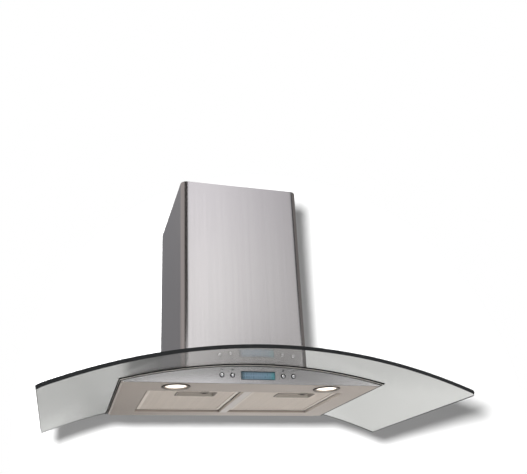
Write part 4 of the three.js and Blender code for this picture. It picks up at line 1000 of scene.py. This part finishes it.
def screw_heads(name, places, size, turn=(0, 0, 0)):
    """Pan heads with a cross recess at the given places (metres), facing up unless turned."""
    tree = Tree(name, **{"Finish": finishes["zinc_steel"], "Radius": size})
    base = mesh_object(name, places, [])
    radius = tree.given("Radius")
    rise = tree.scalar("MULTIPLY", radius, 0.55)
    head = tree.node("GeometryNodeMeshCone")
    head.inputs["Vertices"].default_value = 14
    tree.link(rise, head.inputs["Radius Top"])
    tree.link(radius, head.inputs["Radius Bottom"])
    tree.link(rise, head.inputs["Depth"])
    recess = tree.node("GeometryNodeMeshBoolean", operation="DIFFERENCE")
    tree.link(head.outputs["Mesh"], recess.inputs["Mesh 1"])
    for share_x, share_y in ((0.22, 1.05), (1.05, 0.22)):
        bar = tree.node("GeometryNodeMeshCube")
        bar_x, bar_y = tree.scalar("MULTIPLY", radius, share_x), tree.scalar("MULTIPLY", radius, share_y)
        tree.link(tree.vector(bar_x, bar_y, radius), bar.inputs["Size"])
        lift = tree.node("GeometryNodeTransform")
        tree.link(bar.outputs["Mesh"], lift.inputs["Geometry"])
        tree.link(tree.vector(0, 0, tree.scalar("MULTIPLY", radius, 0.8)), lift.inputs["Translation"])
        tree.link(lift.outputs[0], recess.inputs["Mesh 2"])
    turned = tree.node("GeometryNodeTransform")
    tree.link(recess.outputs[0], turned.inputs["Geometry"])
    turned.inputs["Rotation"].default_value = turn
    points = tree.node("GeometryNodeMeshToPoints")
    source = tree.group.interface.new_socket(name="Places", in_out="INPUT", socket_type="NodeSocketGeometry")
    tree.group.interface.move(source, 0)
    tree.link(tree.inputs.outputs["Places"], points.inputs["Mesh"])
    placed = tree.node("GeometryNodeInstanceOnPoints")
    tree.link(points.outputs[0], placed.inputs["Points"])
    tree.link(turned.outputs[0], placed.inputs["Instance"])
    heads = tree.run(base, placed.outputs[0])
    finish(heads, None, "zinc_steel", "hood")


# ---------------------------------------------------------------- gasket

def rim_path():
    """Outline of the rim as (x, y, outward x, outward y), where the corners step outwards both ways."""
    front, rear = -RIM_FRONT, -GASKET_BACK
    sides = (
        ((-RIM_HALF, front), (RIM_HALF, front), (0, -1), RIM_STEPS_ACROSS),
        ((RIM_HALF, front), (RIM_HALF, rear), (1, 0), RIM_STEPS_DEEP),
        ((RIM_HALF, rear), (-RIM_HALF, rear), (0, 1), RIM_STEPS_ACROSS),
        ((-RIM_HALF, rear), (-RIM_HALF, front), (-1, 0), RIM_STEPS_DEEP),
    )
    path = []
    for index, (start, end, outward, steps) in enumerate(sides):
        before = sides[index - 1][2]
        corner = (outward[0] + before[0], outward[1] + before[1])
        for i in range(steps):
            x, y = (start[k] + (end[k] - start[k]) * i / steps for k in range(2))
            path.append((x, y, *(outward if i else corner)))
    return path


def add_gasket():
    """Rubber frame between glass and casing rim, with a rounded lip that stands proud of the rim, most in
    front."""
    profile = [
        (-9.0, -0.2), (4.4, -0.2), (5.0, -0.45), (5.4, -0.9), (5.5, -1.3), (5.4, -1.8), (4.9, -2.3),
        (4.2, -2.5), (0.4, -2.5), (0.2, -2.2), (-9.0, -2.2),
    ]
    rings = []
    for x, y, nx, ny in rim_path():
        ring = []
        for out, offset in profile:
            beside = out if out < 0 else LIP_AT_SIDES * out
            ahead = out if out < 0 or ny < 0 else LIP_AT_REAR * out
            px = x + beside * MM * nx
            ring.append((px, y + ahead * MM * ny, bend_height(px, offset * MM)))
        rings.append(ring)
    gasket = tidy(loft("glass_gasket_bead", rings, loop=True), 40)
    finish(gasket, "black_rubber", "black_rubber", "hood", "glass_gasket")


# ---------------------------------------------------------------- filters

def add_filters():
    for side in ("left", "right"):
        body = "filter_" + side
        low, high = box_of("filter_mesh_" + side)
        cup_low, cup_high = box_of("filter_handle_" + side)
        under_rail = Vector((9 * MM, 9 * MM, 0))
        mesh = expanded_mesh(
            f"filter_expanded_mesh_{side}", low + under_rail, high - under_rail, cup_low, cup_high)
        finish(mesh, None, "filter_aluminium", body, "filter_mesh_" + side)
        gap = 0.3 * MM
        bottom = low.z + 1.0 * MM
        layers = blocks(f"filter_mesh_layers_{side}", [
            ((low.x, low.y, bottom), (cup_low.x - gap, high.y, high.z)),
            ((cup_high.x + gap, low.y, bottom), (high.x, high.y, high.z)),
            ((cup_low.x - gap, cup_high.y + gap, bottom), (cup_high.x + gap, high.y, high.z)),
            ((cup_low.x - gap, low.y, bottom), (cup_high.x + gap, cup_low.y - gap, high.z)),
        ])
        finish(layers, "filter_layers", "filter_aluminium", body, "filter_mesh_" + side)
        add_filter_frame(side, body)
        add_recess(side, body, cup_low, cup_high)
        add_latch(side)


def add_filter_frame(side, body):
    """C-shaped rails rolled from sheet, with round outer edges, a slot for the latch and two rear tabs."""
    low, high = box_of("filter_frame_" + side)
    latch_low, latch_high = box_of("filter_latch_" + side)
    middle = ((low.x + high.x) / 2, (low.y + FRAME_REAR) / 2)
    reach_x, reach_y = (high.x - low.x) / 2, (FRAME_REAR - low.y) / 2
    section = [
        (11.0, 0.45), (10.6, 0.1), (9.8, 0.0), (9.0, 0.15), (8.4, 0.3), (5.2, 0.25), (3.6, 0.35), (2.1, 0.85),
        (0.9, 1.8), (0.2, 3.0), (0.0, 4.2), (0.0, 7.0), (0.5, 8.3), (1.8, 9.0), (10.4, 9.0), (11.0, 8.4),
        (10.4, 7.8), (2.4, 7.8), (1.2, 6.8), (1.2, 4.2), (1.4, 3.2), (2.0, 2.3), (3.0, 1.6), (4.4, 1.35),
        (10.2, 1.3), (10.9, 0.9),
    ]
    rings = [
        rounded_ring(
            middle, (reach_x - inset * MM, reach_y - inset * MM), max(5 - inset, 1.2) * MM, low.z + rise * MM)
        for inset, rise in section
    ]
    rails = tidy(loft(f"filter_rails_{side}", rings, loop=True), 50)
    cut_away(rails, blocks("latch_slot", [(
        (latch_low.x - 0.5 * MM, low.y - 1 * MM, latch_high.z - 2.5 * MM),
        (latch_high.x + 0.5 * MM, low.y + 12 * MM, latch_high.z + 0.5 * MM),
    )]))
    finish(rails, "frame_aluminium", "filter_aluminium", body, "filter_frame_" + side)
    tabs = blocks(f"filter_tabs_{side}", [
        ((x - 10 * MM, FRAME_REAR - 1 * MM, -15.1 * MM), (x + 10 * MM, high.y, -13.7 * MM))
        for x in (middle[0] - TAB_APART / 2, middle[0] + TAB_APART / 2)])
    finish(bevelled(tabs, 0.4 * MM), "frame_aluminium", "filter_aluminium", body, "filter_frame_" + side)


def add_recess(side, body, low, high):
    """Pressed finger recess: lip under the mesh, round mouth, walls and floor of one sheet."""
    middle = ((low.x + high.x) / 2, (low.y + high.y) / 2)
    reach_x, reach_y = (high.x - low.x) / 2, (high.y - low.y) / 2
    z0, z1 = low.z, high.z
    skin = [
        (12, 4, z1), (3.0, 5, z1), (1.0, 5, z1 - 1.2 * MM), (0.2, 5, z1 - 3 * MM), (0.0, 5, z0 + 1.3 * MM),
        (-3.0, 7, z0 + 1.2 * MM), (-3.2, 7, z0 + 0.6 * MM), (-2.6, 7, z0 + 0.15 * MM), (-1.4, 7, z0),
        (0.0, 6, z0 + 0.1 * MM), (0.8, 5, z0 + 0.7 * MM), (1.2, 5, z0 + 1.6 * MM), (1.4, 5, z1 - 3 * MM),
        (2.0, 5, z1 - 1.7 * MM), (3.6, 5, z1 - 1.0 * MM), (12, 4, z1 - 1.0 * MM),
    ]
    rings = [
        rounded_ring(middle, (reach_x - inset * MM, reach_y - inset * MM), radius * MM, z)
        for inset, radius, z in skin
    ]
    cup = tidy(loft(f"filter_finger_recess_{side}", rings), 50)
    # painted shade: the recess gets the dark aluminium
    finish(cup, "shaded_recess_aluminium", "filter_aluminium", body, "filter_handle_" + side)


def add_latch(side):
    """Sliding latch: tongue, and a finger pad with three grip ridges."""
    low, high = box_of("filter_latch_" + side)
    middle = (low.x + high.x) / 2
    tongue_z = high.z - 2 * MM
    pad_y = high.y - 7 * MM
    boxes = [
        ((low.x, low.y, tongue_z), (high.x, high.y, high.z)),
        ((middle - 5 * MM, pad_y, low.z + 0.5 * MM), (middle + 5 * MM, high.y, tongue_z + 0.5 * MM)),
    ]
    for ridge in (0.6, 2.9, 5.2):
        start = pad_y + ridge * MM
        end = start + 1.2 * MM
        boxes.append(((middle - 4.4 * MM, start, low.z), (middle + 4.4 * MM, end, low.z + 1 * MM)))
    latch = bevelled(blocks(f"filter_latch_slide_{side}", boxes), 0.25 * MM)
    finish(latch, "latch_plastic", "black_plastic", "latch_" + side, "filter_latch_" + side)


# ---------------------------------------------------------------- screws

def screw_circle(middle, radius, count, start=0.0):
    """Pairs of coordinates evenly round a circle."""
    angles = [start + 2 * math.pi * i / count for i in range(count)]
    return [(middle[0] + radius * math.cos(a), middle[1] + radius * math.sin(a)) for a in angles]


def add_screws():
    """Screws of the terminal lid, the motor bracket and the flange of the duct spigot."""
    lid_top = box_of("terminal_lid")[1].z
    screw_heads("terminal_lid_screws", [
        (x, y, lid_top + 0.6 * MM) for x in (-41 * MM, 41 * MM) for y in (-293 * MM, -207 * MM)], 3.0 * MM)
    screw_heads("motor_bracket_screws", [
        (-79.6 * MM, y, z) for z, y in screw_circle((154 * MM, -162 * MM), 50 * MM, 3)
    ], 3.2 * MM, turn=(0, -math.pi / 2, 0))
    screw_heads("spigot_flange_screws", [
        (x, y, BLOWER_BOX_TOP + 2.2 * MM) for x, y in screw_circle((0, -92 * MM), 83 * MM, 4, math.pi / 4)
    ], 2.6 * MM)


# ---------------------------------------------------------------- lamps, buttons

def add_lamps():
    for side, x in LAMPS:
        centre = (x, LAMP_Y, UNDERSIDE)
        bezel = lathe(f"lamp_ring_{side}", [
            (23.8, -0.5), (24.0, -1.1), (24.6, -1.7), (25.4, -2.0), (28.6, -2.0), (29.8, -1.75), (30.6, -1.2),
            (31.0, -0.6), (31.0, -0.3), (27.1, -0.3), (27.1, 6), (25.9, 6), (25.9, 1.8), (23.8, 1.8),
        ], centre, "z", 72)
        finish(bezel, "lamp_ring", "chrome", "hood", f"lamp_bezel_{side}")
        lens = lathe(f"lamp_cover_{side}", [
            (0.0, 0.1), (8, 0.2), (15, 0.6), (20, 1.1), (23.5, 1.6), (23.5, 2.1), (25.5, 2.1), (25.5, 3.6),
            (0.0, 3.6),
        ], centre, "z", 72)
        finish(lens, "lamp_glass", "lamp_glass", "hood", f"lamp_lens_{side}")


def add_buttons():
    """Push button: a collar painted near-black as the shade in the gap, round a small polished dome."""
    for number, x in enumerate(BUTTONS, 1):
        body, node = f"press_{number}", f"button_{number}"
        place = (x, FASCIA, CONTROL_Z)
        # painted shade: the collar is near-black as the gap round the dome
        collar = lathe(f"shaded_button_collar_{number}", [
            (0, -5.4), (2, -5.4), (2, -2.5), (6.6, -2.5), (6.6, -1.5), (5.3, -1.5), (5.3, 0.5), (5.1, 0.9),
            (4.7, 1.1), (3.7, 1.1), (3.6, 0.2), (0, 0.2),
        ], place, "-y", 40)
        finish(collar, "shaded_button_collar", "black_plastic", body, node)
        dome = [(3.5 * math.cos(a), 1.2 + 1.8 * math.sin(a)) for a in (math.pi / 2 * i / 8 for i in range(8))]
        cap = lathe(f"button_dome_{number}", [(0, 0.25), (3.5, 0.25)] + dome + [(0, 3.0)], place, "-y", 40)
        finish(cap, "chrome", "chrome", body, node)


def add_panel_print():
    """Small printed marks above the buttons: bars and a ring, no lettering."""
    face = FASCIA - 0.02 * MM
    back = FASCIA + 0.05 * MM
    middle_z = CONTROL_Z + 12 * MM
    bars = []
    for x, parts in (
        (BUTTONS[0], ((-2.8, 2.0), (0.8, 2.0))),
        (BUTTONS[1], ((-2.4, 4.8),)),
        (BUTTONS[3], ((-2.9, 1.5), (-0.75, 1.5), (1.4, 1.5))),
    ):
        for start, width in parts:
            low_x = x + start * MM
            bars.append(((low_x, face, middle_z - 1.1 * MM), (low_x + width * MM, back, middle_z + 1.1 * MM)))
    finish(blocks("panel_marks", bars), "panel_print", "black_plastic", "hood")
    outline = [(0.9, -0.05), (2.5, -0.05), (2.5, 0.02), (0.9, 0.02)]
    ring = lathe("panel_mark_ring", outline, (BUTTONS[2], FASCIA, middle_z), "-y", 28)
    finish(ring, "panel_print", "black_plastic", "hood")


# ---------------------------------------------------------------- studio

def studio_world(ambient):
    """White for what looks at it, and a softer light for the surfaces it lights."""
    world = bpy.data.worlds.new("white_studio")
    scene.world = world
    sky = Nodes(world)
    tones = []
    for tone in (1, ambient):
        background = sky.add("ShaderNodeBackground")
        background.inputs["Color"].default_value = (tone, tone, tone, 1)
        tones.append(background.outputs[0])
    kinds = ("Is Camera Ray", "Is Glossy Ray", "Is Transmission Ray")
    sky.show(sky.by_ray(kinds, *tones), "ShaderNodeOutputWorld")


def stage_plane(name, corners, material, **rays):
    plane = mesh_object(name, corners, [[0, 1, 2, 3]], smooth=False)
    plane.data.materials.append(material)
    for ray, value in rays.items():
        setattr(plane, "visible_" + ray, value)
    return plane


def backdrop_material(name, middle, inner, outer, tone):
    """Paper that takes the object's shadow near the middle and is plain white further out. Glass and
    metal see it white, and from behind it lets everything through."""
    material = bpy.data.materials.new(name)
    paper = Nodes(material)
    edge = paper.spread(paper.distance(middle), 0, 1, inner, outer)
    pale = paper.add("ShaderNodeBsdfDiffuse")
    pale.inputs["Color"].default_value = (*grey(tone), 1)
    white = paper.add("ShaderNodeEmission")
    white.inputs["Strength"].default_value = 1
    mixed = paper.either(edge, pale.outputs[0], white.outputs[0])
    seen = paper.by_ray(("Is Glossy Ray", "Is Transmission Ray"), white.outputs[0], mixed)
    facing = paper.add("ShaderNodeNewGeometry")
    through = paper.add("ShaderNodeBsdfTransparent")
    paper.show(paper.either(facing.outputs["Backfacing"], seen, through.outputs[0]))
    return material


def card_material(name, axis, across, upwards):
    """Reflection card: light that changes across the card and upwards, as (place in metres, colour)."""
    material = bpy.data.materials.new(name)
    card = Nodes(material)
    x, y, z = card.axes()
    along = x if axis == "X" else y
    light = card.add("ShaderNodeEmission")
    tone = card.blend(1, card.long_ramp(along, across), card.long_ramp(z, upwards), "MULTIPLY")
    card.link(tone, light.inputs["Color"])
    card.show(light.outputs[0])
    return material


def greys(*stops):
    """Stops of a ramp, each given as its place, its tone and, where it isn't neutral, how warm it is."""
    return [(place, grey(*tone)) for place, *tone in stops]


def upright_card(name, start, end, low, high, across, upwards=EVEN, through=True, mirrored=True):
    """Card that stands from start to end, both (x, y); it only shows in metal and glass, and a card that
    isn't mirrored only shows through glass."""
    (x0, y0), (x1, y1) = start, end
    axis = "X" if abs(x1 - x0) > abs(y1 - y0) else "Y"
    corners = [(x0, y0, low), (x1, y1, low), (x1, y1, high), (x0, y0, high)]
    stage_plane(name, corners, card_material(name, axis, across, upwards), camera=False, diffuse=False,
                glossy=mirrored, shadow=False, transmission=through, volume_scatter=False)


def add_cards():
    """Reflections as in a product studio: a soft box in front, brownish walls to the sides, dark between."""
    left, right = STUDIO_LEFT, STUDIO_RIGHT
    brown = (0.42, 0.39, 0.375)
    shadow_grey = (0.225, 0.225, 0.235)
    dim = (0.19, 0.18, 0.172)

    upright_card("card_front", (-right, STUDIO_FRONT), (right, STUDIO_FRONT), 0.7, 3.0, greys(
        (-right, 0.05, 0.1), (0.05, 0.05, 0.1), (0.14, 1.45), (0.45, 1.16), (0.70, 0.84), (1.00, 0.67),
        (1.24, 0.59), (1.33, 0.05), (right, 0.05),
    ), [(0.7, grey(0.88)), (1.2, grey(1)), (1.75, (0.92, 0.91, 0.94)), (3.0, (0.76, 0.76, 0.8))])
    upright_card("card_front_low", (-right, STUDIO_FRONT), (right, STUDIO_FRONT), FLOOR_Z, 0.7, greys(
        (-right, 0.4), (0.0, 1.0), (0.26, 1.0), (0.48, 0.62), (0.65, 0.31), (0.9, 0.18), (1.15, 0.9),
        (1.4, 1.4), (right, 0.6),
    ), greys(
        (FLOOR_Z, 0.45), (-0.26, 0.45), (-0.08, 0.1), (0.1, 0.1), (0.25, 1.5), (0.56, 1.5), (0.63, 1.1),
        (0.7, 0.92),
    ))

    upright_card("card_left", (left, STUDIO_FRONT), (left, 0.3), FLOOR_Z, 3.0, [
        (STUDIO_FRONT, grey(0.06, 0.1)), (-2.02, grey(0.06, 0.1)), (-1.86, brown), (0.3, brown)])
    upright_card("card_left_rear", (left, 0.27), (-0.155, 0.27), 0.0, 3.0, [
        (left, brown), (-0.44, brown), (-0.36, shadow_grey), (-0.155, shadow_grey),
    ], greys((0.0, 0.8), (0.45, 0.84), (0.8, 1.0), (3.0, 1.0)), through=False)
    upright_card("card_right", (right, STUDIO_FRONT), (right, 0.3), FLOOR_Z, 3.0, [
        (STUDIO_FRONT, dim), (0.3, dim)])
    upright_card("card_right_rear", (0.155, 0.27), (right, 0.27), 0.0, 3.0, [
        (0.155, dim), (right, dim)], through=False)

    upright_card("card_behind_left_wing", (left, 0.28), (-0.1, 0.28), -0.03, 0.6, greys(
        (left, 1.0), (-0.27, 1.0), (-0.24, 0.92), (-0.205, 0.35), (-0.1, 0.12),
    ), greys((-0.03, 1.0), (0.12, 1.0), (0.2, 0.95), (0.6, 0.95)), mirrored=False)
    upright_card("card_behind_right_wing", (0.1, 0.28), (right, 0.28), -0.03, 0.6, greys(
        (0.1, 1.0), (right, 1.0),
    ), greys((-0.03, 1.0), (0.12, 1.0), (0.2, 0.85), (0.6, 0.85)), mirrored=False)
    upright_card("card_below", (left, 0.26), (right, 0.26), -1.4, -0.03, greys(
        (left, 0.5), (-0.40, 0.5), (-0.27, 0.06), (-0.25, 0.06), (0.0, 0.4), (0.12, 0.55), (right, 0.6),
    ), greys((-1.4, 0.16), (-0.19, 0.2), (-0.14, 0.5), (-0.1, 1.0), (-0.075, 0.9), (-0.03, 0.72)))


def area_light(name, place, target, size, power, color=(1, 1, 1)):
    """Round lamp that no metal or glass mirrors."""
    data = bpy.data.lights.new(name, "AREA")
    data.shape = "DISK"
    data.size = size
    data.energy = power
    data.color = color
    lamp = bpy.data.objects.new(name, data)
    lamp.location = place
    lamp.rotation_euler = (Vector(target) - Vector(place)).to_track_quat("-Z", "Y").to_euler()
    lamp.visible_glossy = False
    scene.collection.objects.link(lamp)
    return lamp


def add_studio():
    scene.view_settings.view_transform = "Standard"
    studio_world(0.5)
    wall = stage_plane(
        "backdrop", [(-8, WALL_Y, FLOOR_Z), (10, WALL_Y, FLOOR_Z), (10, WALL_Y, 9), (-8, WALL_Y, 9)],
        backdrop_material("backdrop_paper", (1.77, WALL_Y, 0.8), 2.4, 2.6, 0.31))
    floor = stage_plane(
        "floor", [(-8, -3, FLOOR_Z), (10, -3, FLOOR_Z), (10, WALL_Y, FLOOR_Z), (-8, WALL_Y, FLOOR_Z)],
        backdrop_material("floor_paper", (0, -0.3, FLOOR_Z), 0.8, 1.4, 0.23))
    add_cards()
    area_light("key", (-1.6, -2.2, 1.5), (0, -0.2, 0.1), 1.4, 45)
    area_light("fill", (0.8, -2.3, 2.5), (0, -0.2, 0.1), 1.2, 22)
    area_light("low_right", (1.3, -1.1, -1.0), (0.1, -0.2, 0), 0.9, 34, (1.0, 0.97, 0.95))
    area_light("low_left", (-1.3, -0.9, -0.8), (0, -0.2, 0), 0.8, 6, (1.0, 0.96, 0.92))

    # lamps beside the camera that light one sheet of paper each, so that the object's shadow falls on it
    for name, receiver, place, target, size, power in (
        ("shadow_lamp", wall, (-0.438, -1.75, -0.274), (2.6, WALL_Y, 1.2), 0.055, 2200),
        ("floor_lamp", floor, (-0.47, -1.75, -0.18), (0.9, 0.5, 0.0), 0.09, 310),
    ):
        receivers = bpy.data.collections.new(name + "_receivers")
        receivers.objects.link(receiver)
        area_light(name, place, target, size, power).light_linking.receiver_collection = receivers


# ---------------------------------------------------------------- everything

add_camera()
finish_cad_nodes()
add_glass()
add_gasket()
add_chimney()
add_filters()
add_lamps()
add_buttons()
add_panel_print()
add_screws()
add_studio()
